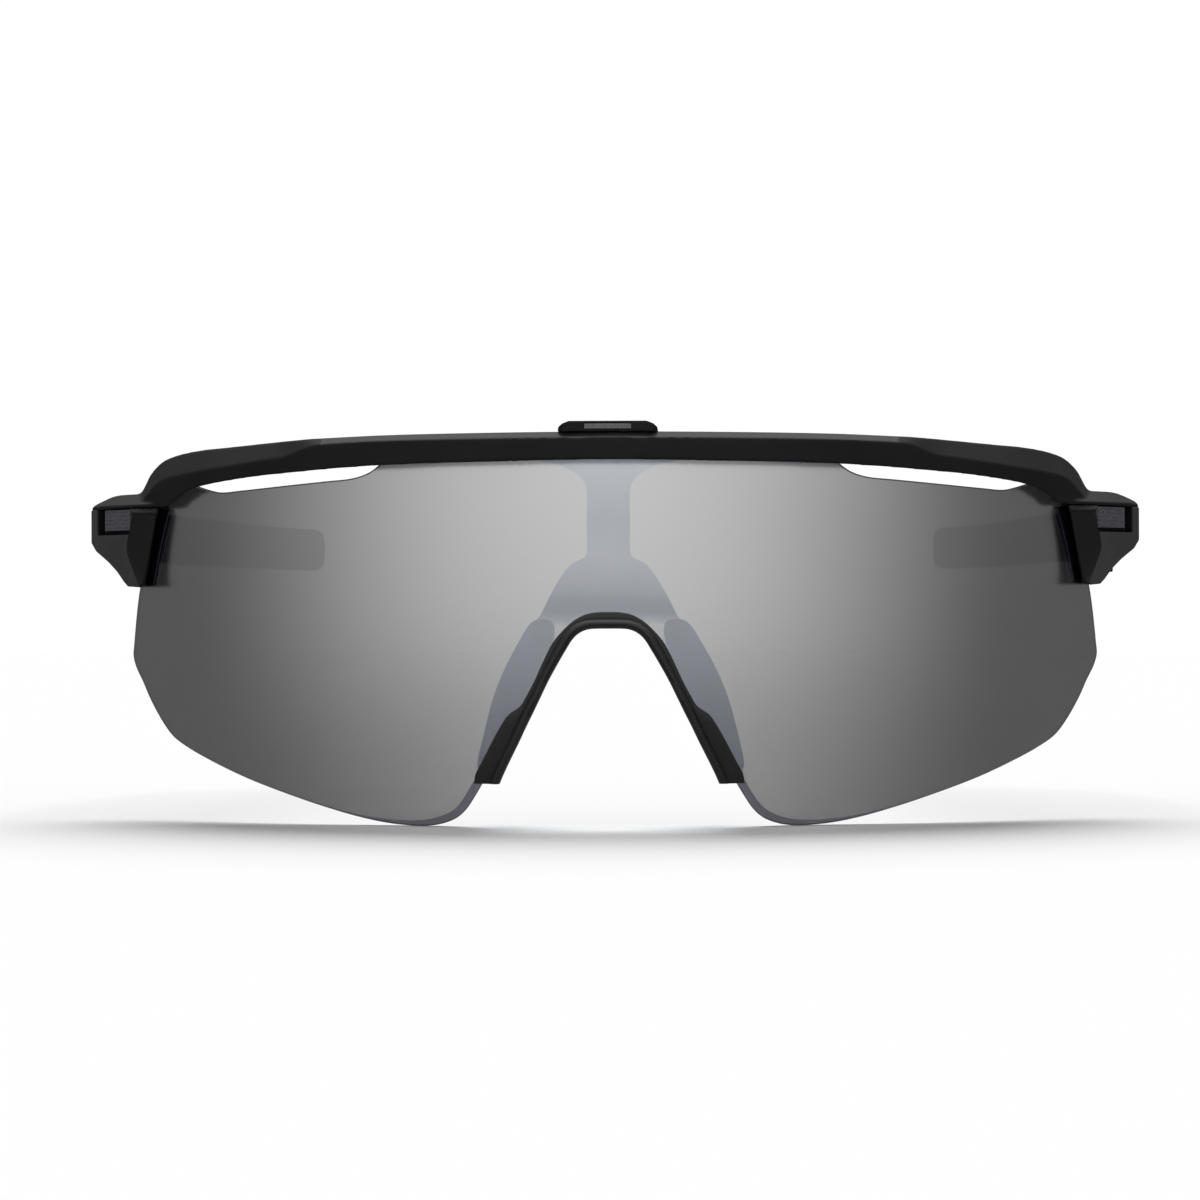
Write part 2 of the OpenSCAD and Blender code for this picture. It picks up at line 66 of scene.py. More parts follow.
# The doubly curved lens: radius from above, radius from the side, widest height, thickness
PLAN_R = 82.0
SIDE_R = 150.0
MID_Z = 32.0
LENS_T = 2.0


def at(x, d, z):
    """A point of the shape tables as a point of the frame, in metres."""
    return Vector((x * MM, LENS_LOW.y + d * MM, z * MM))


def shell_r(z, t=0.0):
    """Radius, seen from above, of the surface t behind the lens's front at height z."""
    return PLAN_R - SIDE_R + math.sqrt((SIDE_R - t) ** 2 - (z - MID_Z) ** 2)


def shell_d(x, z, t=0.0):
    """Depth of that surface at (x, z)."""
    return PLAN_R - math.sqrt(shell_r(z, t) ** 2 - x * x)


# ------------------------------------------------------------------ curves and outlines

def mix_knots(a, b, ka, kb, t):
    """The value at knot t on the line from a at knot ka to b at knot kb."""
    return a * ((kb - t) / (kb - ka)) + b * ((t - ka) / (kb - ka))


def spline(points, steps, closed=False):
    """A smooth curve (centripetal Catmull-Rom) through the points, with steps points to each span."""
    pts = [Vector(p) for p in points]
    n = len(pts)
    out = []
    for i in range(n if closed else n - 1):
        ids = [(i + k) % n if closed else min(max(i + k, 0), n - 1) for k in (-1, 0, 1, 2)]
        p = [pts[k] for k in ids]
        k = [0.0]
        for a, b in zip(p, p[1:]):
            k.append(k[-1] + max((b - a).length, 1e-4) ** 0.5)
        for s in range(steps):
            t = k[1] + (k[2] - k[1]) * s / steps
            a = [mix_knots(p[j], p[j + 1], k[j], k[j + 1], t) for j in range(3)]
            b = [mix_knots(a[j], a[j + 1], k[j], k[j + 2], t) for j in range(2)]
            out.append(mix_knots(b[0], b[1], k[1], k[2], t))
    if not closed:
        out.append(pts[-1])
    return out


def resample_rows(rows, steps):
    """Smooth curves through matching columns of a table, as rows again."""
    return [list(v) for v in spline(rows, steps)]


def both_halves(half):
    """A closed outline from its right half, listed from the top middle to the bottom middle."""
    return [tuple(p) for p in half] + [(-x, z) for x, z in reversed(half) if x > 0]


def signed_area(pts):
    """Area of an outline, positive if it runs anticlockwise."""
    return sum(a[0] * b[1] - b[0] * a[1] for a, b in zip(pts, pts[1:] + pts[:1])) / 2


# How far a corner may move in for each unit that its sides do
MITRE_LIMIT = 1.6


def inset(pts, amounts):
    """The outline drawn in by its own amount at each point."""
    n = len(pts)
    turn = 1.0 if signed_area(pts) > 0 else -1.0
    out = []
    for i in range(n):
        a, p, b = Vector(pts[i - 1]), Vector(pts[i]), Vector(pts[(i + 1) % n])
        e0, e1 = (p - a).normalized(), (b - p).normalized()
        n0, n1 = Vector((-e0.y, e0.x)) * turn, Vector((-e1.y, e1.x)) * turn
        m = n0 + n1
        m = m.normalized() if m.length > 1e-6 else n0
        stretch = 1.0 / max(m.dot(n0), 1 / MITRE_LIMIT)
        q = p + m * (amounts[i] * stretch)
        out.append((q.x, q.y))
    return out


# ------------------------------------------------------------------ meshes

def mark_creases(bm, degrees):
    """Shades the mesh smooth, except across edges sharper than the angle."""
    bm.normal_update()
    limit = math.radians(degrees)
    for e in bm.edges:
        e.smooth = not (len(e.link_faces) == 2 and e.calc_face_angle(0.0) > limit)
    for f in bm.faces:
        f.smooth = True


def make_object(name, bm, materials, crease=40.0):
    """An object in the scene from a mesh under construction."""
    bmesh.ops.recalc_face_normals(bm, faces=bm.faces)
    mark_creases(bm, crease)
    mesh = bpy.data.meshes.new(name)
    bm.to_mesh(mesh)
    bm.free()
    for m in materials:
        mesh.materials.append(m)
    obj = bpy.data.objects.new(name, mesh)
    bpy.context.scene.collection.objects.link(obj)
    return obj


def weight_normals(obj):
    """Lets the large faces set the shading, so that narrow bevels do not bend it."""
    mod = obj.modifiers.new("even_normals", "WEIGHTED_NORMAL")
    mod.keep_sharp = True
    mod.weight = 50
    return obj


def bake_modifiers(obj):
    """Replaces the object's mesh by what its modifiers make of it."""
    graph = bpy.context.evaluated_depsgraph_get()
    mesh = bpy.data.meshes.new_from_object(obj.evaluated_get(graph))
    obj.modifiers.clear()
    old = obj.data
    obj.data = mesh
    bpy.data.meshes.remove(old)
    return obj


def soften(obj, voxel_mm, passes):
    """Even small faces and slightly rounded edges, as a moulding has."""
    remesh = obj.modifiers.new("remesh", "REMESH")
    remesh.mode = "VOXEL"
    remesh.voxel_size = voxel_mm * MM
    remesh.use_smooth_shade = True
    smooth = obj.modifiers.new("smooth", "SMOOTH")
    smooth.factor = 0.5
    smooth.iterations = passes
    bake_modifiers(obj)
    for p in obj.data.polygons:
        p.use_smooth = True
    return obj


def softened_copy(node, material, voxel_mm, passes):
    """A piece in the shape of a CAD node, with rounded edges."""
    obj = bpy.data.objects.new("soft_" + node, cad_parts[node].data.copy())
    bpy.context.scene.collection.objects.link(obj)
    obj.data.materials.clear()
    obj.data.materials.append(material)
    return soften(obj, voxel_mm, passes)


def loft_faces(bm, rings, slots=None):
    """Joins rings of points by quads and closes both ends. slots gives the material of each strip
    along the rings."""
    rows = [[bm.verts.new(p) for p in ring] for ring in rings]
    n = len(rows[0])
    for a, b in zip(rows, rows[1:]):
        for i in range(n):
            j = (i + 1) % n
            f = bm.faces.new((a[i], a[j], b[j], b[i]))
            f.material_index = slots[i] if slots else 0
    for row in (rows[0], rows[-1]):
        bm.faces.new(row)


def curved_plate(name, outline, t0, t1, materials, rim, cell):
    """A plate that follows the lens, from t0 to t1 behind its front. rim lists (inset, depth share,
    slot of the strip that follows) from the front face to the back one; an inset is a number or one
    for each outline point. cell is the size of the mesh."""
    bm = bmesh.new()
    rings = []
    for amount, share, _ in rim:
        amounts = amount if isinstance(amount, list) else [amount] * len(outline)
        s = t0 + (t1 - t0) * share
        rings.append([Vector((x, s, z)) for x, z in inset(outline, amounts)])
    rows = [[bm.verts.new(p) for p in ring] for ring in rings]
    n = len(outline)
    for k, (a, b) in enumerate(zip(rows, rows[1:])):
        for i in range(n):
            f = bm.faces.new((a[i], a[(i + 1) % n], b[(i + 1) % n], b[i]))
            f.material_index = rim[k][2]
    front, back = bm.faces.new(rows[0]), bm.faces.new(rows[-1])
    front.material_index = 0
    back.material_index = rim[-1][2]
    dice(bm, 0, cell)
    dice(bm, 2, cell)
    for v in bm.verts:
        x, s, z = v.co
        v.co = at(x, shell_d(x, z, s), z)
    return make_object(name, bm, materials)


# Shift of the cutting planes, so that none of them runs along an edge at a round number
DICE_SHIFT = 0.31


def dice(bm, axis, cell):
    """Cuts the mesh by planes a cell apart across one axis."""
    values = [v.co[axis] for v in bm.verts]
    k = math.ceil(min(values) / cell)
    normal = Vector((0, 0, 0))
    normal[axis] = 1
    while k * cell < max(values):
        point = Vector((0, 0, 0))
        point[axis] = k * cell + DICE_SHIFT
        geom = bm.verts[:] + bm.edges[:] + bm.faces[:]
        bmesh.ops.bisect_plane(bm, geom=geom, plane_co=point, plane_no=normal, dist=1e-5)
        k += 1


def mirrored(obj, name):
    """The same piece on the other side of the face."""
    bm = bmesh.new()
    bm.from_mesh(obj.data)
    for v in bm.verts:
        v.co.x = -v.co.x
    bmesh.ops.reverse_faces(bm, faces=bm.faces)
    mesh = obj.data.copy()
    bm.to_mesh(mesh)
    bm.free()
    mesh.name = name
    other = bpy.data.objects.new(name, mesh)
    bpy.context.scene.collection.objects.link(other)
    return other


# ------------------------------------------------------------------ materials

def new_material(name):
    """A material with its nodes, links, shader and the object coordinates."""
    m = bpy.data.materials.new(name)
    m.use_nodes = True
    nodes, links = m.node_tree.nodes, m.node_tree.links
    shader = next(n for n in nodes if n.type == "BSDF_PRINCIPLED")
    place = nodes.new("ShaderNodeTexCoord")
    return m, nodes, links, shader, place.outputs["Object"]


def noise(nodes, links, place, size_mm, detail=2.0):
    """Noise whose features are about size_mm wide."""
    n = nodes.new("ShaderNodeTexNoise")
    n.inputs["Scale"].default_value = 1000.0 / size_mm
    n.inputs["Detail"].default_value = detail
    links.new(place, n.inputs["Vector"])
    return n.outputs["Fac"]


def two_tone(nodes, links, fac, dark, light):
    """A colour between dark and light, driven by a noise."""
    ramp = nodes.new("ShaderNodeValToRGB")
    ramp.color_ramp.elements[0].position = 0.3
    ramp.color_ramp.elements[1].position = 0.7
    ramp.color_ramp.elements[0].color = (*dark, 1)
    ramp.color_ramp.elements[1].color = (*light, 1)
    links.new(fac, ramp.inputs["Fac"])
    return ramp.outputs["Color"]


def between(nodes, links, fac, low, high):
    """A value from low to high as fac goes from 0 to 1."""
    r = nodes.new("ShaderNodeMapRange")
    r.inputs["To Min"].default_value = low
    r.inputs["To Max"].default_value = high
    links.new(fac, r.inputs["Value"])
    return r.outputs["Result"]


def bump(nodes, links, height, depth_mm):
    """Fine relief: a normal from a height that spans depth_mm."""
    b = nodes.new("ShaderNodeBump")
    b.inputs["Strength"].default_value = 1.0
    b.inputs["Distance"].default_value = depth_mm * MM
    links.new(height, b.inputs["Height"])
    return b.outputs["Normal"]


def shade(colour, k):
    """The colour k times as bright."""
    return tuple(min(1.0, c * k) for c in colour)


def plastic(name, colour, rough, grain_mm=0.3, grain_depth=0.012, gloss=0.25):
    """Moulded plastic: slow colour drift, a fine spark-eroded grain and a little wear in the gloss."""
    m, nodes, links, shader, place = new_material(name)
    drift = noise(nodes, links, place, 9.0, 3.0)
    fine = noise(nodes, links, place, grain_mm, 2.0)
    links.new(two_tone(nodes, links, drift, shade(colour, 0.85), shade(colour, 1.15)),
              shader.inputs["Base Color"])
    links.new(between(nodes, links, drift, rough - 0.04, rough + 0.05), shader.inputs["Roughness"])
    links.new(bump(nodes, links, fine, grain_depth), shader.inputs["Normal"])
    shader.inputs["Specular IOR Level"].default_value = gloss
    return m


# Share of the light that the coat takes: at the middle of the lens, and towards its ends
COAT_MIDDLE = 0.75
COAT_ENDS = 0.985
COAT_SPREAD_MM = 52.0


def mirror_coat():
    """Silver mirror coating, thinner over the nose, so the spine behind it shows there."""
    m, nodes, links, shader, place = new_material("mirror_coat")
    drift = noise(nodes, links, place, 30.0, 2.0)
    links.new(two_tone(nodes, links, drift, (0.60, 0.60, 0.61), (0.63, 0.63, 0.64)),
              shader.inputs["Base Color"])
    links.new(between(nodes, links, drift, 0.22, 0.25), shader.inputs["Roughness"])
    shader.inputs["Metallic"].default_value = 1.0
    split = nodes.new("ShaderNodeSeparateXYZ")
    links.new(place, split.inputs["Vector"])
    side = nodes.new("ShaderNodeMath")
    side.operation = "ABSOLUTE"
    links.new(split.outputs["X"], side.inputs[0])
    cover = nodes.new("ShaderNodeMapRange")
    cover.interpolation_type = "SMOOTHSTEP"
    cover.inputs["From Max"].default_value = COAT_SPREAD_MM * MM
    cover.inputs["To Min"].default_value = COAT_MIDDLE
    cover.inputs["To Max"].default_value = COAT_ENDS
    links.new(side.outputs[0], cover.inputs["Value"])
    links.new(cover.outputs["Result"], shader.inputs["Alpha"])
    return m


def lens_tint(name, colour, alpha, rough):
    """Bare polycarbonate of the lens: its back face and its cut edges."""
    m, nodes, links, shader, place = new_material(name)
    drift = noise(nodes, links, place, 12.0, 2.0)
    links.new(two_tone(nodes, links, drift, shade(colour, 0.9), shade(colour, 1.1)),
              shader.inputs["Base Color"])
    links.new(between(nodes, links, drift, rough, rough + 0.04), shader.inputs["Roughness"])
    shader.inputs["Alpha"].default_value = alpha
    return m


def tint_by_height(nodes, links, place, tints):
    """Colour of one pass through a surface, from tints given as (height in mm, colour of two)."""
    low_z, high_z = tints[0][0], tints[-1][0]
    split = nodes.new("ShaderNodeSeparateXYZ")
    links.new(place, split.inputs["Vector"])
    height = nodes.new("ShaderNodeMapRange")
    height.inputs["From Min"].default_value = low_z * MM
    height.inputs["From Max"].default_value = high_z * MM
    links.new(split.outputs["Z"], height.inputs["Value"])
    cloud = between(nodes, links, noise(nodes, links, place, 4.0, 3.0), -0.05, 0.05)
    mixed = nodes.new("ShaderNodeMath")
    mixed.use_clamp = True
    links.new(height.outputs["Result"], mixed.inputs[0])
    links.new(cloud, mixed.inputs[1])
    ramp = nodes.new("ShaderNodeValToRGB")
    stops = ramp.color_ramp.elements
    for i, (z, colour) in enumerate(tints):
        share = (z - low_z) / (high_z - low_z)
        stop = stops[i] if i in (0, len(tints) - 1) else stops.new(share)
        stop.color = (*[c ** 0.5 for c in colour], 1)
    links.new(mixed.outputs[0], ramp.inputs["Fac"])
    return ramp.outputs["Color"]


def smoky(name, tints, body_colour, cover):
    """Smoke-tinted clear plastic or silicone. Each tint is a height in mm and what is left there of
    white light that passes through the piece's front and back. cover is the share of the light that
    the body's own colour takes."""
    m, nodes, links, shader, place = new_material(name)
    clear = nodes.new("ShaderNodeBsdfTransparent")
    links.new(tint_by_height(nodes, links, place, tints), clear.inputs["Color"])
    links.new(two_tone(nodes, links, noise(nodes, links, place, 6.0, 3.0), shade(body_colour, 0.85),
                       shade(body_colour, 1.15)), shader.inputs["Base Color"])
    links.new(bump(nodes, links, noise(nodes, links, place, 0.3), 0.004), shader.inputs["Normal"])
    shader.inputs["Roughness"].default_value = 0.45
    blend = nodes.new("ShaderNodeMixShader")
    blend.inputs["Fac"].default_value = cover
    links.new(clear.outputs[0], blend.inputs[1])
    links.new(shader.outputs[0], blend.inputs[2])
    out = next(n for n in nodes if n.type == "OUTPUT_MATERIAL")
    links.new(blend.outputs[0], out.inputs["Surface"])
    return m


def metal(name, colour, rough):
    """Machined metal with a fine, uneven finish."""
    m, nodes, links, shader, place = new_material(name)
    drift = noise(nodes, links, place, 1.5, 4.0)
    links.new(two_tone(nodes, links, drift, shade(colour, 0.8), shade(colour, 1.1)),
              shader.inputs["Base Color"])
    links.new(between(nodes, links, drift, rough - 0.06, rough + 0.08), shader.inputs["Roughness"])
    links.new(bump(nodes, links, noise(nodes, links, place, 0.2), 0.004), shader.inputs["Normal"])
    shader.inputs["Metallic"].default_value = 1.0
    return m


def speckled(name, colour, rough):
    """Grey moulding with fine dark and light specks, for the studded inserts."""
    m, nodes, links, shader, place = new_material(name)
    specks = noise(nodes, links, place, 0.25, 3.0)
    links.new(two_tone(nodes, links, specks, shade(colour, 0.7), shade(colour, 1.3)),
              shader.inputs["Base Color"])
    links.new(bump(nodes, links, noise(nodes, links, place, 0.12), 0.006), shader.inputs["Normal"])
    links.new(between(nodes, links, specks, rough - 0.05, rough + 0.1), shader.inputs["Roughness"])
    return m


FRAME_BLACK = plastic("frame_black", (0.011, 0.011, 0.0113), 0.42, gloss=0.17)
# Lighter, glossier black that paints a highlight on the bar's upward-facing chamfer
CHAMFER_HIGHLIGHT = plastic("edge_satin", (0.026, 0.026, 0.0265), 0.38, gloss=0.35)
# Lighter, glossier black painted on the blocks' outward-facing front faces as light from the side
BLOCK_FACET_LIGHT = plastic("frame_satin", (0.04, 0.04, 0.0405), 0.42, gloss=0.4)
CLIP_BLACK = plastic("clip_black", (0.016, 0.016, 0.0165), 0.26, grain_depth=0.004, gloss=0.55)
# Smoke tint of the spine with painted light and shade by height: nearly clear at its foot, dark just
# above the nose clip, brighter towards the bar
SPINE_PAINTED_LIGHT = [(26.5, (0.92, 0.94, 0.97)), (28.4, (0.10, 0.18, 0.28)), (29.4, (0.09, 0.16, 0.27)),
               (31.5, (0.36, 0.43, 0.54)), (35.6, (0.60, 0.67, 0.77)), (41.0, (0.49, 0.57, 0.68)),
               (47.0, (0.80, 0.88, 1.0))]
SPINE_GREY = smoky("spine_grey", SPINE_PAINTED_LIGHT, (0.22, 0.24, 0.28), cover=0.06)
PAD_TINTS = [(8.0, (0.23, 0.30, 0.42)), (26.0, (0.14, 0.23, 0.37))]
PAD_SILICONE = smoky("pad_silicone", PAD_TINTS, (0.20, 0.22, 0.25), cover=0.10)
CORE_TINTS = [(10.0, (0.86, 0.88, 0.92)), (22.0, (0.97, 0.98, 1.0))]
CORE_NYLON = smoky("core_nylon", CORE_TINTS, (0.30, 0.32, 0.36), cover=0.03)
SLEEVE_RUBBER = plastic("sleeve_rubber", (0.014, 0.014, 0.0145), 0.68, grain_mm=0.18,
                        grain_depth=0.01)
# Black rubber, made darker than the frame as painted shade under the block's flange
GASKET_SHADED_RUBBER = plastic("gasket_rubber", (0.004, 0.004, 0.0045), 0.6, grain_depth=0.02, gloss=0.08)
STEEL = metal("screw_steel", (0.55, 0.55, 0.57), 0.32)
BRASS = metal("insert_brass", (0.66, 0.50, 0.24), 0.35)
INSERT_GREY = speckled("insert_grey", (0.075, 0.075, 0.09), 0.45)
GRIP_GREY = speckled("grip_grey", (0.17, 0.17, 0.18), 0.5)
# Paler grey that paints a highlight on the rounded inner side of the gasket's lip
LIP_HIGHLIGHT = plastic("lip_grey", (0.03, 0.026, 0.045), 0.5, gloss=0.2)
MIRROR = mirror_coat()
LENS_BACK = lens_tint("lens_back", (0.03, 0.032, 0.038), alpha=0.14, rough=0.08)
LENS_EDGE = lens_tint("lens_edge", (0.085, 0.072, 0.125), alpha=0.92, rough=0.25)


# ------------------------------------------------------------------ lens

# Right half of the lens's outline, from the middle of the top to the middle of the nose notch
LENS_HALF = [
    (0, 49.7), (15, 49.65), (29.0, 49.4), (30.6, 48.1), (32.0, 47.1), (34.1, 46.4), (38, 46.05),
    (42.5, 45.7), (50.4, 45.1), (53.3, 44.95), (54.9, 45.3), (56.2, 45.7), (57.6, 46.1),
    (60.2, 45.6), (62.4, 44.2), (63.5, 42.6), (65.0, 36.5), (66.25, 31.3), (67.2, 24.2),
    (67.35, 22.6), (66.9, 21.0), (65.8, 19.0), (64.5, 16.4), (62.4, 13.1), (60.8, 11.3), (58.4, 9.8),
    (55.3, 8.3), (49.7, 5.95), (41.9, 3.35), (38, 2.2), (34.2, 1.2), (30.5, 0.45), (27.5, 0.1),
    (24.3, 0.03), (22.2, 0.37), (20.3, 1.15), (19.0, 2.3), (17.9, 3.9), (16.4, 6.4), (13.1, 11.9),
    (11.2, 15.4), (8.9, 20.1), (6.4, 24.8), (4.9, 26.4), (3.2, 27.1), (1.5, 27.25)]
# Width of the bevel along the edge, its widest part, where it is widest and where it has thinned out
BEVEL_W = 0.25
BARE_BEVEL_W = 1.15
BARE_BEVEL_TOP_Z = 9
BARE_BEVEL_X = (21, 44)


def bevel_width(x, z):
    """The unmirrored bevel is widest beside the nose and thins out along the bottom."""
    x = abs(x)
    x_from, x_to = BARE_BEVEL_X
    if z > BARE_BEVEL_TOP_Z or x > x_to:
        return BEVEL_W
    if x < x_from:
        return BARE_BEVEL_W
    return BEVEL_W + (BARE_BEVEL_W - BEVEL_W) * (1 - (x - x_from) / (x_to - x_from)) ** 2


def build_lens():
    """The mirrored shield, with its bevel, cut edge and bare back face."""
    outline = [tuple(p) for p in spline(both_halves(LENS_HALF), 4, closed=True)]
    wide = [bevel_width(x, z) for x, z in outline]
    rim = [(wide, 0.0, 1), ([w * 0.35 for w in wide], 0.2, 1), (0.04, 0.42, 1), (0.0, 0.6, 1),
           (0.03, 0.9, 1), (0.14, 1.0, 2)]
    lens = curved_plate("shield_lens", outline, 0.0, LENS_T, [MIRROR, LENS_EDGE, LENS_BACK],
                        rim, cell=2.0)
    weight_normals(lens)
    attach(lens, "frame")
    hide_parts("lens")


# ------------------------------------------------------------------ brow bar

# How far the bar stands before the lens, its depth, and how much higher its underside is at the back
BAR_PROUD = 1.2
BAR_DEPTH = 5.4
BAR_UNDERCUT = 1.1
# Fall of the top faces of the bar and the lugs towards the back
TOP_FALL = 0.1
# Matching points along the top edge, the ridge and the bottom edge, and how far the top edge leans back
BAR_ROWS = [
    (0, 52.1, 0, 51.25, 0, 48.3, 1.5), (16, 52.05, 16, 51.2, 16, 48.1, 1.5),
    (30, 51.95, 30, 51.1, 30, 47.85, 1.5), (38.4, 51.75, 38.0, 50.85, 38.2, 47.45, 1.5),
    (40.4, 51.68, 40.0, 50.6, 40.4, 47.3, 1.1), (44.0, 51.5, 43.5, 49.3, 44.0, 47.05, 1.7),
    (46.5, 51.35, 45.6, 49.05, 46.2, 46.9, 1.9), (51.4, 51.05, 50.9, 48.43, 50.4, 46.5, 2.1),
    (56.0, 50.8, 55.5, 47.86, 54.2, 46.0, 2.1), (58.6, 50.5, 58.0, 47.5, 56.4, 45.6, 2.1),
    (60.4, 50.15, 60.2, 47.2, 58.1, 45.04, 2.1), (62.1, 49.6, 61.86, 46.85, 59.3, 44.42, 2.1),
    (63.3, 48.8, 63.06, 46.17, 60.2, 43.7, 2.1), (64.4, 47.71, 64.11, 45.17, 60.8, 43.2, 2.1),
    (65.1, 46.56, 64.82, 44.47, 61.4, 43.1, 2.1), (65.8, 45.5, 65.27, 43.97, 62.4, 43.1, 2.0),
    (66.7, 45.05, 65.9, 43.6, 63.6, 43.1, 2.0)]


def bar_ring(row):
    """Section of the bar: bottom front, ridge, top front, top back, bottom back."""
    tx, tz, rx, rz, bx, bz, lean = row
    front_r = PLAN_R + BAR_PROUD

    def on_arc(x, z, back):
        return at(x, PLAN_R - math.sqrt((front_r - back) ** 2 - x * x), z)

    return [on_arc(bx, bz, 0.0), on_arc(rx, rz, 0.0), on_arc(tx, tz, lean),
            on_arc(tx, tz - TOP_FALL, BAR_DEPTH), on_arc(bx, bz + BAR_UNDERCUT, BAR_DEPTH)]


# The lug over each hinge block: front edge, back edge and top heights along it, from inside out
LUG_ROWS = [
    (62.4, 27.3, 43.1, 43.6, 62.4, 38.0, 45.2), (64.6, 28.6, 43.1, 43.55, 65.2, 43.0, 45.2),
    (67.9, 31.1, 43.1, 43.5, 67.6, 45.0, 45.15), (70.2, 33.7, 43.06, 43.5, 69.8, 46.0, 45.0),
    (72.2, 36.1, 42.9, 43.5, 71.8, 46.2, 44.3), (73.25, 37.6, 42.85, 43.45, 73.25, 45.4, 43.75)]
# Share of the lug's depth that its sloped front takes
LUG_SLOPE = 0.35


def lug_ring(row):
    """Section of a lug, from its front low edge over the top to its back low edge."""
    fx, fd, low, lip, bx, bd, high = row
    return [at(fx, fd, low), at(fx, fd, lip),
            at(fx + (bx - fx) * LUG_SLOPE, fd + (bd - fd) * LUG_SLOPE, high),
            at(bx, bd, high - TOP_FALL), at(bx, bd, low)]


# The chamfer along the top of the bar, painted lighter and glossier as a highlight where it faces up:
# its end, and how its faces are tilted
CHAMFER_END = 38.5
CHAMFER_UP = (0.45, 0.97)
CHAMFER_FORWARD = -0.15


def build_brow_bar():
    """The half-frame: the bar and the lug at each of its ends, as one moulding."""
    bm = bmesh.new()
    half = resample_rows(BAR_ROWS, 5)
    mirror = [[-r[0], r[1], -r[2], r[3], -r[4], r[5], r[6]] for r in reversed(half[1:])]
    loft_faces(bm, [bar_ring(r) for r in mirror + half])
    for side in (1, -1):
        rings = [lug_ring(r) for r in resample_rows(LUG_ROWS, 4)]
        loft_faces(bm, [[Vector((p.x * side, p.y, p.z)) for p in ring] for ring in rings])
    bar = make_object("half_frame", bm, [FRAME_BLACK])
    soften(bar, voxel_mm=0.22, passes=4)
    # Faces that look up and forward, inside CHAMFER_END, get the lighter material: a painted highlight
    # of the light from above
    bar.data.materials.append(CHAMFER_HIGHLIGHT)
    for face in bar.data.polygons:
        painted_highlight_face = CHAMFER_UP[0] < face.normal.z < CHAMFER_UP[1] and face.normal.y < CHAMFER_FORWARD
        if painted_highlight_face and abs(face.center.x) < CHAMFER_END * MM:
            face.material_index = 1
    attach(bar, "frame")
    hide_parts("brow_bar")


# ------------------------------------------------------------------ nose clip, spine and pads

# Matching points along the inner and the outer edge of the clip's right leg, from the top down
CLIP_ROWS = [
    (0, 26.2, 0, 28.4), (1.5, 26.2, 1.7, 28.35), (2.7, 26.1, 3.2, 28.0), (3.8, 25.65, 4.7, 27.15),
    (4.7, 24.85, 6.0, 25.95), (5.6, 23.45, 7.3, 24.4), (6.8, 21.4, 8.6, 21.9),
    (7.9, 19.4, 9.65, 19.6), (9.1, 16.95, 10.95, 17.15), (9.8, 15.5, 11.7, 16.0),
    (10.3, 14.5, 13.2, 14.95), (10.9, 13.3, 14.1, 13.7), (11.9, 11.2, 15.3, 11.6),
    (13.2, 8.6, 16.7, 8.9), (14.1, 6.7, 17.7, 6.95), (14.5, 5.75, 17.85, 5.8)]
# Section of the clip's front, as distance and depth: the bead from the inner edge outwards, and the
# flange that thins out towards the outer edge, measured from that edge
CLIP_BEAD = [(0.0, 1.9), (0.0, -0.2), (0.14, -0.75), (0.42, -1.12), (0.78, -1.16), (1.1, -0.95),
             (1.28, -0.55), (1.36, -0.34)]
CLIP_FLANGE = [(-0.3, -0.34), (-0.04, -0.26), (0.0, 0.0)]
# Floor of the slot that takes the lens
CLIP_SLOT = 0.75
# The lip behind the lens: its share of the width and least width, and its section as distance and
# depth behind the lens, at its outer end and then at the inner edge
CLIP_REAR = 0.62
CLIP_REAR_MIN = 0.9
CLIP_REAR_END = [(0.0, 0.0), (0.0, 0.5), (-0.2, 0.75)]
CLIP_REAR_BACK = [(0.5, 0.8), (0.12, 0.5)]


def clip_ring(row):
    """Section of the clip across the edge of the notch, once round."""
    ix, iz, ox, oz = row
    inner, outer = Vector((ix, iz)), Vector((ox, oz))
    across = outer - inner
    unit = across.normalized()
    width = across.length
    rear = max(width * CLIP_REAR, CLIP_REAR_MIN)
    section = CLIP_BEAD + [(width + d, s) for d, s in CLIP_FLANGE]
    section += [(CLIP_SLOT, 0.0), (CLIP_SLOT, LENS_T)]
    section += [(rear + d, LENS_T + s) for d, s in CLIP_REAR_END]
    section += [(d, LENS_T + s) for d, s in CLIP_REAR_BACK]
    ring = []
    for d, s in section:
        p = inner + unit * d
        ring.append(at(p.x, shell_d(p.x, p.y, s), p.y))
    return ring


def build_nose_clip():
    """The black clip over the edge of the nose notch."""
    half = resample_rows(CLIP_ROWS, 5)
    mirror = [[-r[0], r[1], -r[2], r[3]] for r in reversed(half[1:])]
    bm = bmesh.new()
    loft_faces(bm, [clip_ring(r) for r in mirror + half])
    clip = make_object("nose_clip_moulding", bm, [CLIP_BLACK], crease=50)
    weight_normals(clip)
    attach(clip, "frame")
    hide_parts("nose_clip")


# Right half of the spine's outline, from the middle of the top round to the middle of its foot
SPINE_HALF = [(0, 50.0), (12.0, 49.95), (28.6, 49.4), (28.8, 48.5), (27.0, 48.1), (20.0, 48.3),
              (13.0, 48.55), (10.6, 48.55), (8.6, 48.3), (6.8, 47.9), (5.2, 47.25),
              (3.9, 46.4), (3.1, 45.4), (2.85, 44.2), (2.85, 40.0), (2.85, 36.6), (2.95, 35.9),
              (3.5, 35.4), (4.6, 34.95), (5.6, 33.95), (6.6, 32.5), (7.8, 30.4), (8.7, 28.6),
              (9.2, 27.7), (9.9, 27.0), (10.2, 26.0), (10.0, 24.6), (8.9, 23.7), (7.9, 23.6),
              (6.9, 24.3), (5.6, 25.75), (3.6, 27.25), (1.5, 27.95)]
SPINE_GAP = 0.15
SPINE_T = 1.8
SPINE_FRONT = LENS_T + SPINE_GAP
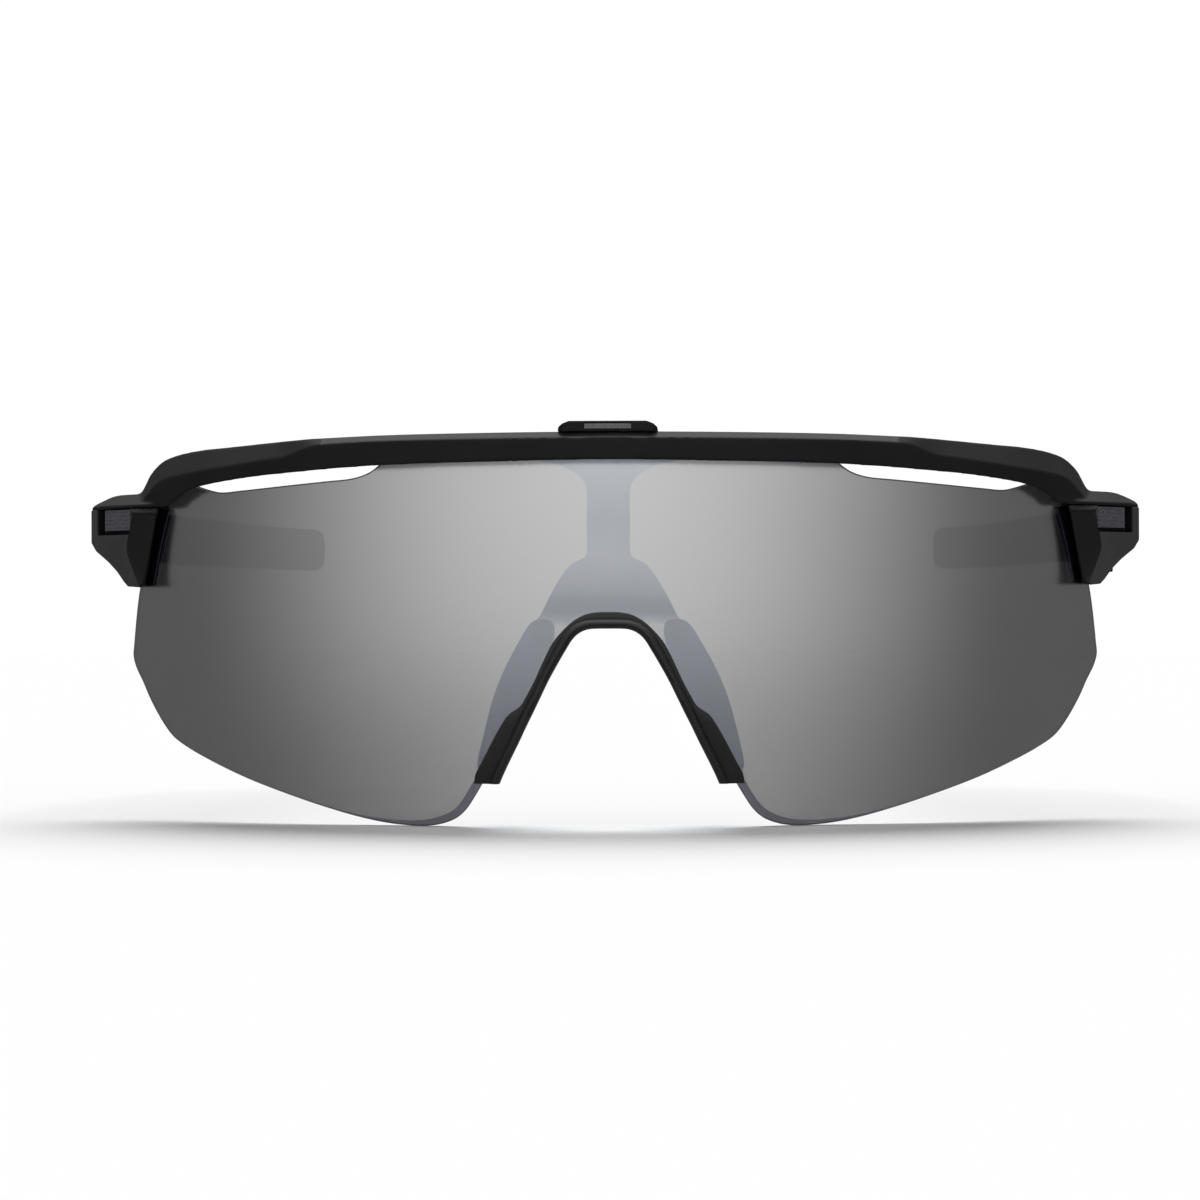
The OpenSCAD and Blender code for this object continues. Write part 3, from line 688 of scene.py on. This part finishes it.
SPINE_BACK = SPINE_FRONT + SPINE_T


def build_spine():
    """The smoke-grey spine behind the lens, from the bar down to the nose."""
    outline = [tuple(p) for p in spline(both_halves(SPINE_HALF), 4, closed=True)]
    rim = [(0.4, 0.0, 0), (0.12, 0.08, 0), (0.0, 0.25, 0), (0.0, 0.75, 0), (0.12, 0.92, 0),
           (0.4, 1.0, 0)]
    spine = curved_plate("lens_spine", outline, SPINE_FRONT, SPINE_BACK, [SPINE_GREY], rim,
                         cell=1.5)
    weight_normals(spine)
    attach(spine, "frame")
    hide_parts("bridge_spine")


# Left pad: height, inner edge, outer edge, depth of its section
PAD_ROWS = [(7.25, 16.5, 17.8, 4.0), (8.4, 15.4, 18.0, 6.4), (12.4, 13.0, 17.0, 8.8),
            (17.0, 10.4, 15.9, 9.0), (21.0, 8.6, 14.2, 8.2), (25.0, 7.2, 11.9, 6.3),
            (26.9, 7.2, 10.7, 4.6), (27.5, 7.9, 9.8, 3.0)]
# Gap behind the spine, depth of the pads' front behind that of the lens, their thickness, and its
# limit as a share of a section's width
PAD_GAP = 0.42
PAD_FRONT = SPINE_BACK + PAD_GAP
PAD_T = 2.9
PAD_WIDTH_SHARE = 0.75


def pad_ring(row):
    """Rounded section of a pad, slanting outwards from the lens back."""
    z, x0, x1, depth = row
    d0 = shell_d(x0, z, 0) + PAD_FRONT
    w = min(PAD_T, (x1 - x0) * PAD_WIDTH_SHARE)
    corners = [(x0, d0), (x0 + w, d0), (x1, d0 + depth - w * 0.5), (x1, d0 + depth),
               (x1 - w, d0 + depth), (x0, d0 + w)]
    n = len(corners)
    ring = []
    for i in range(n):
        p, b = Vector(corners[i]), Vector(corners[(i + 1) % n])
        ring += [at(*p.lerp(b, k), z) for k in (0.0, 0.5)]
    return ring


def build_pads():
    """The two soft nose pads, rounded all over."""
    bm = bmesh.new()
    loft_faces(bm, [pad_ring(r) for r in PAD_ROWS])
    left = make_object("left_pad_silicone", bm, [PAD_SILICONE], crease=180)
    sub = left.modifiers.new("round", "SUBSURF")
    sub.levels = sub.render_levels = 3
    bake_modifiers(left)
    right = mirrored(left, "right_pad_silicone")
    for side, pad in (("left", left), ("right", right)):
        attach(pad, side + "_pad")
        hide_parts(side + "_nose_pad")


# ------------------------------------------------------------------ temples

# Middle height, height, and depths of the root, the sleeve, the bend and the end
TEMPLE_Z = 39.55
TEMPLE_H = 6.9
TEMPLE_ROOT_D = 47.5
SLEEVE_D = 106.0
TEMPLE_END = 160.0
BEND_D = 112.0
# x of the inner face: at the root, its slope from there on, and at the end
ROOT_X = 66.8
SLOPE = 0.104
TIP_X = 50.9
BEND_PULL = ROOT_X - SLOPE * (TEMPLE_END - TEMPLE_ROOT_D) - TIP_X
# Thickness at each depth
TEMPLE_T_ROWS = [(47.5, 5.6), (56.5, 4.2), (112, 3.9), (160, 3.6)]


def temple_inner(d):
    """x of the left temple's inner face at depth d."""
    bent = max(0.0, d - BEND_D) / (TEMPLE_END - BEND_D)
    return ROOT_X - SLOPE * (d - TEMPLE_ROOT_D) - BEND_PULL * bent ** 2


def interpolate(d, table):
    """The value at d on the straight lines through a table's points."""
    for (a, va), (b, vb) in zip(table, table[1:]):
        if d <= b:
            return va + (vb - va) * max(0.0, d - a) / (b - a)
    return table[-1][1]


def rounded_section(d, x0, x1, z0, z1, r, per_corner=4):
    """A rounded rectangle across the temple at depth d."""
    ring = []
    for cx, cz, start in ((x1 - r, z1 - r, 0), (x0 + r, z1 - r, 90), (x0 + r, z0 + r, 180),
                          (x1 - r, z0 + r, 270)):
        for k in range(per_corner):
            a = math.radians(start + 90 * k / (per_corner - 1))
            ring.append(at(cx + r * math.cos(a), d, cz + r * math.sin(a)))
    return ring


# Least flat that is left between two rounded corners
FLAT = 0.02


def temple_section(d, inset_mm, r, half_h):
    """Section of the left temple at depth d, drawn in by inset_mm on both sides."""
    x0 = temple_inner(d) + inset_mm
    x1 = temple_inner(d) + interpolate(d, TEMPLE_T_ROWS) - inset_mm
    r = min(r, (x1 - x0) / 2 - FLAT, half_h - FLAT)
    return rounded_section(d, x0, x1, TEMPLE_Z - half_h, TEMPLE_Z + half_h, r)


def frange(a, b, step):
    """Even values from a to b, about a step apart."""
    n = max(1, round((b - a) / step))
    return [a + (b - a) * k / n for k in range(n + 1)]


# The socket at the sleeve's front end, which takes the arm: its wall, length and corner radius
SOCKET_WALL = 0.82
SOCKET_LENGTH = 9
SOCKET_R = 0.7
# The sleeve's rounded front edge: gap to the arm's shoulder, inset and length
SLEEVE_GAP = 0.06
SLEEVE_LIP = 0.25
SLEEVE_LIP_LENGTH = 0.4
SLEEVE_R = 1.1
# Grip ribs: pitch, depth, distance between sections, and the plain lengths before and behind them
RIB_PITCH = 2.5
RIB_DEPTH = 0.12
RIB_STEP = 0.5
PLAIN_FRONT = 14
PLAIN_END = 8
# The round end: radius from the side, narrowing from above, least half height, sections
END_R = 3.0
END_NARROWING = 0.9
END_HALF_H = 0.35
END_STEPS = 8


def build_sleeve():
    """Rubber end of the left temple: a tube with grip ribs on its sides and a round end."""
    bm = bmesh.new()
    half = TEMPLE_H / 2
    mouth = SLEEVE_D + SLEEVE_GAP
    rings = [temple_section(SLEEVE_D + SOCKET_LENGTH, SOCKET_WALL, SOCKET_R, half - SOCKET_WALL),
             temple_section(mouth, SOCKET_WALL, SOCKET_R, half - SOCKET_WALL),
             temple_section(mouth, SLEEVE_LIP, SOCKET_R, half - SLEEVE_LIP)]
    for d in frange(SLEEVE_D + SLEEVE_LIP_LENGTH, TEMPLE_END - END_R, RIB_STEP):
        rib = 0.5 - 0.5 * math.cos(2 * math.pi * (d - SLEEVE_D) / RIB_PITCH)
        ribbed = SLEEVE_D + PLAIN_FRONT < d < TEMPLE_END - PLAIN_END
        rings.append(temple_section(d, RIB_DEPTH * rib if ribbed else 0.0, SLEEVE_R, half))
    for k in range(1, END_STEPS + 1):
        a = math.radians(90 * k / END_STEPS)
        d = TEMPLE_END - END_R + END_R * math.sin(a)
        drop = END_R * (1 - math.cos(a))
        side = END_NARROWING * (1 - math.cos(a))
        rings.append(temple_section(d, side, SLEEVE_R, max(half - drop, END_HALF_H)))
    loft_faces(bm, rings)
    return make_object("left_rubber_end", bm, [SLEEVE_RUBBER], crease=50)


def build_temples():
    """The temples: the CAD arms with moulded edges, and the rubber ends."""
    sleeve = weight_normals(build_sleeve())
    other_sleeve = weight_normals(mirrored(sleeve, "right_rubber_end"))
    for side, piece in (("left", sleeve), ("right", other_sleeve)):
        arm = softened_copy(side + "_temple_arm", FRAME_BLACK, voxel_mm=0.2, passes=6)
        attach(arm, side + "_temple")
        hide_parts(side + "_temple_arm")
        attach(piece, side + "_temple")
        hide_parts(side + "_tip_sleeve")


# ------------------------------------------------------------------ CAD nodes that stay

CAD_LOOKS = {"block_screw": STEEL, "hinge_screw": STEEL, "latch_pin": STEEL, "temple_core": STEEL,
             "hinge_insert": BRASS, "pad_core": CORE_NYLON}


def dress_cad_nodes():
    """Looks for the CAD nodes that stay in the picture as they are."""
    for name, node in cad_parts.items():
        key = name.replace("left_", "").replace("right_", "")
        if key in CAD_LOOKS:
            node.data.materials.clear()
            node.data.materials.append(CAD_LOOKS[key])


# ------------------------------------------------------------------ blocks, inserts, gaskets and tab

# Height and x of the ridge between a block's two front faces, and of its inner edge
BLOCK_RIDGE = [(32.1, 65.4), (32.8, 65.64), (34.4, 66.33), (36.05, 67.04), (37.1, 67.36),
               (38.4, 67.31), (40.2, 66.86), (43.0, 66.35)]
BLOCK_INNER = [(32.1, 64.65), (33.9, 64.27), (37.75, 63.44), (41.2, 62.75), (43.0, 62.6)]
# The block's front in plan: inner end, ridge and outer end, as (x, depth)
BLOCK_PLAN = [(62.6, 27.0), (66.8, 29.6), (73.3, 37.2)]
BLOCK_TOP = 43.0
# The leaf-shaped face: its height, how far out it is lowered, and its turned-back inner edge
LEAF_TOP = 42.55
LEAF_TOP_X = 66.6
LEAF_EDGE_W = 0.45
LEAF_EDGE_SLOPE = 0.9
# What belongs to a block's front or to its top: points this close to it, and for the front faces this
# far turned forwards and sideways; those sideways front faces are painted lighter, as light from the
# side
FRONT_SKIN = 0.4
TOP_SKIN = 0.1
FRONT_TILT = 0.3


def block_plan_d(x):
    """Depth of the block's plain front at x."""
    a, b, c = BLOCK_PLAN
    p, q = (a, b) if x < b[0] else (b, c)
    return p[1] + (x - p[0]) * (q[1] - p[1]) / (q[0] - p[0])


def leaf_d(x, z):
    """Depth of the front with the leaf-shaped inner face, whose ridge bulges outwards."""
    (ax, ad), (bx, bd), (cx, cd) = BLOCK_PLAN

    def outer(u):
        return bd + (u - bx) * (cd - bd) / (cx - bx)

    ridge_x, inner_x = interpolate(z, BLOCK_RIDGE), interpolate(z, BLOCK_INNER)
    if x >= ridge_x:
        return outer(x)
    inner_d = ad + (inner_x - ax) * (bd - ad) / (bx - ax)
    share = (x - inner_x) / (ridge_x - inner_x)
    edge = max(0.0, inner_x + LEAF_EDGE_W - x)
    return inner_d + (outer(ridge_x) - inner_d) * share + edge * LEAF_EDGE_SLOPE


def measures(p):
    """Distance from the middle of the face, depth and height of a point of the frame."""
    return abs(p.x) / MM, (p.y - LENS_LOW.y) / MM, p.z / MM


def build_blocks():
    """Side blocks: the CAD shape with moulded edges, the leaf-shaped face in front, and painted light
    on the outer front faces.
    """
    for side in ("left", "right"):
        piece = softened_copy(side + "_side_block", FRAME_BLACK, voxel_mm=0.13, passes=4)
        for v in piece.data.vertices:
            x, d, z = measures(v.co)
            if d < block_plan_d(x) + FRONT_SKIN:
                d += leaf_d(x, z) - block_plan_d(x)
                if x < LEAF_TOP_X and z > LEAF_TOP - TOP_SKIN:
                    z -= BLOCK_TOP - LEAF_TOP
                v.co.y, v.co.z = LENS_LOW.y + d * MM, z * MM
        # The outer front faces, turned sideways, get the lighter black: painted light, as from a lamp
        # at the side
        piece.data.materials.append(BLOCK_FACET_LIGHT)
        for face in piece.data.polygons:
            x, d, z = measures(face.center)
            on_front = face.normal.y < -FRONT_TILT and abs(face.normal.x) > FRONT_TILT
            if on_front and x > interpolate(z, BLOCK_RIDGE) and d < block_plan_d(x) + FRONT_SKIN:
                face.material_index = 1
        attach(piece, "frame")
        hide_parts(side + "_side_block")


# Studs: distance between the mesh points that shape them, plain rim of the plate, radius in pitches
STUD_GRID = 0.09
STUD_RIM = 0.25
STUD_R = 0.42


def studded_plate(name, place, size_u, size_v, thick, pitch, height, material):
    """A small plate with rows of rounded studs. place(u, v, h) gives a point h above the face."""
    bm = bmesh.new()
    nu, nv = round(size_u / STUD_GRID), round(size_v / STUD_GRID)

    def raised(u, v):
        if min(u, v, size_u - u, size_v - v) < STUD_RIM:
            return 0.0
        row = round(v / pitch[1])
        du = (u / pitch[0] + 0.5 * (row % 2)) % 1.0 - 0.5
        dv = v / pitch[1] - row
        return height * max(0.0, 1.0 - (du / STUD_R) ** 2 - (dv / STUD_R) ** 2) ** 0.5

    top = [[bm.verts.new(place(size_u * i / nu, size_v * j / nv,
                               raised(size_u * i / nu, size_v * j / nv)))
            for j in range(nv + 1)] for i in range(nu + 1)]
    for i in range(nu):
        for j in range(nv):
            bm.faces.new((top[i][j], top[i + 1][j], top[i + 1][j + 1], top[i][j + 1]))
    rim_top = [top[i][0] for i in range(nu)] + [top[nu][j] for j in range(nv)]
    rim_top += [top[i][nv] for i in range(nu, 0, -1)] + [top[0][j] for j in range(nv, 0, -1)]
    ends = ([(size_u * i / nu, 0) for i in range(nu)]
            + [(size_u, size_v * j / nv) for j in range(nv)]
            + [(size_u * i / nu, size_v) for i in range(nu, 0, -1)]
            + [(0, size_v * j / nv) for j in range(nv, 0, -1)])
    low = [bm.verts.new(place(u, v, -thick)) for u, v in ends]
    n = len(low)
    for i in range(n):
        bm.faces.new((rim_top[i], rim_top[(i + 1) % n], low[(i + 1) % n], low[i]))
    bm.faces.new(low)
    return make_object(name, bm, [material], crease=60)


# The insert along the block's outer face and in height, how deep it lies in its window, its
# thickness, and the pitch and height of its studs
INSERT_U = (0.05, 7.18)
INSERT_Z = (40.02, 42.88)
INSERT_SINK = 0.5
INSERT_T = 0.98
INSERT_PITCH = (0.8, 0.56)
INSERT_STUD = 0.2


def insert_point(u, v, h):
    """A point of the left insert: u along the block's outer face, v up, h out of it."""
    (bx, bd), (cx, cd) = BLOCK_PLAN[1], BLOCK_PLAN[2]
    along = Vector((cx - bx, cd - bd)).normalized()
    inward = Vector((-along.y, along.x))
    p = Vector((bx, bd)) + along * (INSERT_U[0] + u) + inward * (INSERT_SINK - h)
    return at(p.x, p.y, INSERT_Z[0] + v)


def build_inserts():
    """The studded grey inserts in the windows of the blocks."""
    left = studded_plate("left_studded_insert", insert_point, INSERT_U[1] - INSERT_U[0],
                         INSERT_Z[1] - INSERT_Z[0], INSERT_T, INSERT_PITCH, INSERT_STUD,
                         INSERT_GREY)
    right = mirrored(left, "right_studded_insert")
    for side, piece in (("left", left), ("right", right)):
        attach(piece, "frame")
        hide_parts(side + "_side_insert")


# The gasket at each height: its end on the lens, the end of its raised lip and its outer side
GASKET_ROWS = [(32.35, 63.5, 64.35, 66.4), (35.0, 62.95, 63.65, 65.8), (38.0, 62.25, 62.8, 65.1),
               (41.0, 61.45, 61.9, 64.5), (42.85, 60.95, 61.3, 64.0)]
# Its wall beside the lens edge, how much less it covers of the lens's back, its gap to the lens and
# its skin over it; the raised lip with its shoulder and bevel
GASKET_WALL = 0.3
GASKET_BACK = 0.9
GASKET_GAP = 0.04
GASKET_SKIN = 0.16
GASKET_LIP = 0.42
GASKET_SHOULDER = 0.3
GASKET_BEVEL = 0.1


def run(x_from, x_to, s, parts=5):
    """Points along a surface that stays s from the front of the lens, so that it curves with it."""
    return [(x_from + (x_to - x_from) * k / parts, s) for k in range(parts)]


def build_gaskets():
    """A channel of dark rubber over the edge of the lens, with a raised lip on the front; the lip's
    inner side is painted paler as a highlight, and the rest is painted extra dark as shade under the
    block.
    """
    bm = bmesh.new()
    back = LENS_T + GASKET_GAP
    rings = []
    for z, x0, x1, x2 in resample_rows(GASKET_ROWS, 4):
        wall = x2 - GASKET_WALL
        rear = x0 + GASKET_BACK
        section = [(x0, -GASKET_GAP), (x0, -GASKET_SHOULDER), (x0 + GASKET_BEVEL, -GASKET_LIP),
                   (x1 - GASKET_BEVEL, -GASKET_LIP), (x1, -GASKET_SHOULDER)]
        section += run(x1, x2, -GASKET_SKIN) + run(x2, rear, back + GASKET_SKIN)
        section += run(rear, wall, back) + run(wall, x0, -GASKET_GAP)
        rings.append([at(x, shell_d(x, z, s), z) for x, s in section])
    # The first two strips, the inner side of the lip, are painted paler as a highlight on its rounded
    # edge
    loft_faces(bm, rings, [0, 0] + [1] * (len(rings[0]) - 2))
    left = make_object("left_gasket", bm, [LIP_HIGHLIGHT, GASKET_SHADED_RUBBER], crease=50)
    right = mirrored(left, "right_gasket")
    for side, piece in (("left", left), ("right", right)):
        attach(piece, "frame")
        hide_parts(side + "_lens_gasket")


# The studded patch on the tab: heights, half width, depth of its face, thickness, pitch and studs
GRIP_Z = (52.44, 53.1)
GRIP_HALF_W = 3.08
GRIP_D = -0.28
GRIP_T = 0.4
GRIP_PITCH = (0.42, 0.3)
GRIP_STUD = 0.08
# The tab's lip below the patch is drawn down, so that it closes against the bar
LATCH_LIP_D = 0.3
LATCH_LIP_Z = 52.42
LATCH_LIP_DROP = 0.1


def grip_point(u, v, h):
    """A point of the patch: u across the face, v up, h out of it."""
    return at(u - GRIP_HALF_W, GRIP_D - h, GRIP_Z[0] + v)


def build_latch():
    """The tab on the bar: the CAD lever with moulded edges, and its studded patch."""
    lever = softened_copy("latch_lever", FRAME_BLACK, voxel_mm=0.09, passes=3)
    for v in lever.data.vertices:
        if v.co.y < LENS_LOW.y + LATCH_LIP_D * MM and v.co.z < LATCH_LIP_Z * MM:
            v.co.z -= LATCH_LIP_DROP * MM
    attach(lever, "latch")
    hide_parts("latch_lever")
    grip = studded_plate("latch_studded_grip", grip_point, 2 * GRIP_HALF_W, GRIP_Z[1] - GRIP_Z[0],
                         GRIP_T, GRIP_PITCH, GRIP_STUD, GRIP_GREY)
    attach(grip, "latch")
    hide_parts("latch_grip")


# ------------------------------------------------------------------ stage

FLOOR_HALF = 4.0
FLOOR_WHITE = 0.9


def build_floor():
    """A plain matt floor at the height of the lowest point of the CAD part."""
    bm = bmesh.new()
    verts = [bm.verts.new((x * FLOOR_HALF, y * FLOOR_HALF, cad_low.z)) for x, y in
             ((-1, -1), (1, -1), (1, 1), (-1, 1))]
    bm.faces.new(verts)
    matt, _, _, shader, _ = new_material("studio_floor")
    shader.inputs["Base Color"].default_value = (FLOOR_WHITE, FLOOR_WHITE, FLOOR_WHITE, 1)
    shader.inputs["Roughness"].default_value = 1.0
    shader.inputs["Specular IOR Level"].default_value = 0.0
    floor = make_object("studio_floor", bm, [matt])
    floor.visible_glossy = False


# The studio as gloss sees it: brightness by the height of the direction
STUDIO_RISE = [(-1.0, 0.0), (-0.6, 0.0), (-0.454, 0.03), (-0.424, 0.06), (-0.309, 0.13),
               (-0.182, 0.465), (-0.017, 0.93), (0.1, 1.03), (0.25, 1.08), (0.6, 1.1), (1.0, 1.1)]
# Its level in front and all round, how fast the front one falls off, which way it is turned in
# degrees, and the level and focus of the light from straight above
STUDIO_FRONT = 0.525
STUDIO_REST = 0.122
STUDIO_FALLOFF = 1.5
STUDIO_TURN = 4.0
STUDIO_TOP = 2.0
STUDIO_TOP_FOCUS = 3.0
# Light on matt surfaces from all round, and the backdrop that the camera sees
ROUND_LIGHT = 0.3
BACKDROP = 1.02
# The lamp overhead: power, width and lean in degrees
LAMP_POWER = 3.3
LAMP_WIDTH = 50
LAMP_LEAN = -40


def math_node(nodes, links, operation, *values, clamp=False):
    """A math node fed with numbers or with the outputs of other nodes."""
    n = nodes.new("ShaderNodeMath")
    n.operation = operation
    n.use_clamp = clamp
    for socket, value in zip(n.inputs, values):
        if isinstance(value, (int, float)):
            socket.default_value = value
        else:
            links.new(value, socket)
    return n.outputs[0]


def rise_curve(nodes, links, height):
    """Brightness by height as STUDIO_RISE lists it, over its last value. Returns it with that value."""
    rise = nodes.new("ShaderNodeFloatCurve")
    curve = rise.mapping.curves[0]
    peak = STUDIO_RISE[-1][1]
    for i, (z, level) in enumerate(STUDIO_RISE):
        spot = ((z + 1) / 2, level / peak)
        if i in (0, len(STUDIO_RISE) - 1):
            curve.points[0 if i == 0 else -1].location = spot
        else:
            curve.points.new(*spot)
    rise.mapping.update()
    links.new(math_node(nodes, links, "MULTIPLY_ADD", height, 0.5, 0.5), rise.inputs["Value"])
    return rise.outputs[0], peak


def studio_level(nodes, links):
    """Brightness of the studio in each direction, for gloss."""
    place = nodes.new("ShaderNodeTexCoord")
    split = nodes.new("ShaderNodeSeparateXYZ")
    links.new(place.outputs["Generated"], split.inputs["Vector"])
    turn = math.radians(STUDIO_TURN)
    sideways = math_node(nodes, links, "MULTIPLY", split.outputs["X"], -math.sin(turn))
    ahead = math_node(nodes, links, "MULTIPLY", split.outputs["Y"], -math.cos(turn))
    forward = math_node(nodes, links, "ADD", sideways, ahead, clamp=True)
    falloff = math_node(nodes, links, "POWER", forward, STUDIO_FALLOFF)
    rise, peak = rise_curve(nodes, links, split.outputs["Z"])
    lit = math_node(nodes, links, "MULTIPLY", falloff, rise)
    lit = math_node(nodes, links, "MULTIPLY", lit, STUDIO_FRONT * peak)
    upward = math_node(nodes, links, "MULTIPLY", split.outputs["Z"], 1.0, clamp=True)
    focused = math_node(nodes, links, "POWER", upward, STUDIO_TOP_FOCUS)
    overhead = math_node(nodes, links, "MULTIPLY", focused, STUDIO_TOP)
    level = math_node(nodes, links, "ADD", lit, overhead)
    return math_node(nodes, links, "ADD", level, STUDIO_REST)


def build_world():
    """A white studio. Gloss sees it bright in front and above, darker to the sides and below."""
    world = bpy.data.worlds.new("studio")
    bpy.context.scene.world = world
    world.use_nodes = True
    world.cycles.sampling_method = "NONE"
    nodes, links = world.node_tree.nodes, world.node_tree.links
    nodes.clear()
    glossy = nodes.new("ShaderNodeBackground")
    links.new(studio_level(nodes, links), glossy.inputs["Color"])
    path = nodes.new("ShaderNodeLightPath")
    plain = nodes.new("ShaderNodeBackground")
    plain.inputs["Color"].default_value = (1, 1, 1, 1)
    seen = math_node(nodes, links, "MAXIMUM", path.outputs["Is Camera Ray"],
                     path.outputs["Is Transmission Ray"])
    links.new(between(nodes, links, seen, ROUND_LIGHT, BACKDROP), plain.inputs["Strength"])
    pick = nodes.new("ShaderNodeMixShader")
    links.new(path.outputs["Is Glossy Ray"], pick.inputs["Fac"])
    links.new(plain.outputs[0], pick.inputs[1])
    links.new(glossy.outputs[0], pick.inputs[2])
    out = nodes.new("ShaderNodeOutputWorld")
    links.new(pick.outputs[0], out.inputs["Surface"])


def build_lights():
    """One broad soft lamp overhead and a little behind, so the shadow falls forward."""
    data = bpy.data.lights.new("broad_lamp", "SUN")
    data.energy = LAMP_POWER
    data.angle = math.radians(LAMP_WIDTH)
    lamp = bpy.data.objects.new("broad_lamp", data)
    bpy.context.scene.collection.objects.link(lamp)
    lamp.rotation_euler = (math.radians(LAMP_LEAN), 0, 0)
    lamp.visible_glossy = False


# Camera: its place as x, d and z, its lens and sensor in millimetres, and its angles in degrees
CAMERA_AT = (12.0, -550.0, 26.3)
CAMERA_LENS = 126.0
CAMERA_SENSOR = 36.0
CAMERA_PITCH = 0.382
CAMERA_YAW = 1.36
CAMERA_ROLL = -0.15


def build_camera():
    """A long lens half a metre in front of the face, level with the lower half of the lens."""
    data = bpy.data.cameras.new("camera")
    data.sensor_width = CAMERA_SENSOR
    data.lens = CAMERA_LENS
    data.clip_start = 0.01
    camera = bpy.data.objects.new("camera", data)
    bpy.context.scene.collection.objects.link(camera)
    camera.location = at(*CAMERA_AT)
    pitch, yaw = math.radians(CAMERA_PITCH), math.radians(CAMERA_YAW)
    level = Euler((math.radians(90) + pitch, 0.0, yaw)).to_matrix()
    roll = Matrix.Rotation(math.radians(CAMERA_ROLL), 3, "Z")
    camera.rotation_mode = "XYZ"
    camera.rotation_euler = (level @ roll).to_euler()
    bpy.context.scene.camera = camera


build_lens()
build_brow_bar()
build_nose_clip()
build_spine()
build_pads()
build_temples()
build_blocks()
build_inserts()
build_gaskets()
build_latch()
dress_cad_nodes()
build_floor()
build_world()
build_lights()
build_camera()
bpy.context.scene.view_settings.view_transform = "Standard"
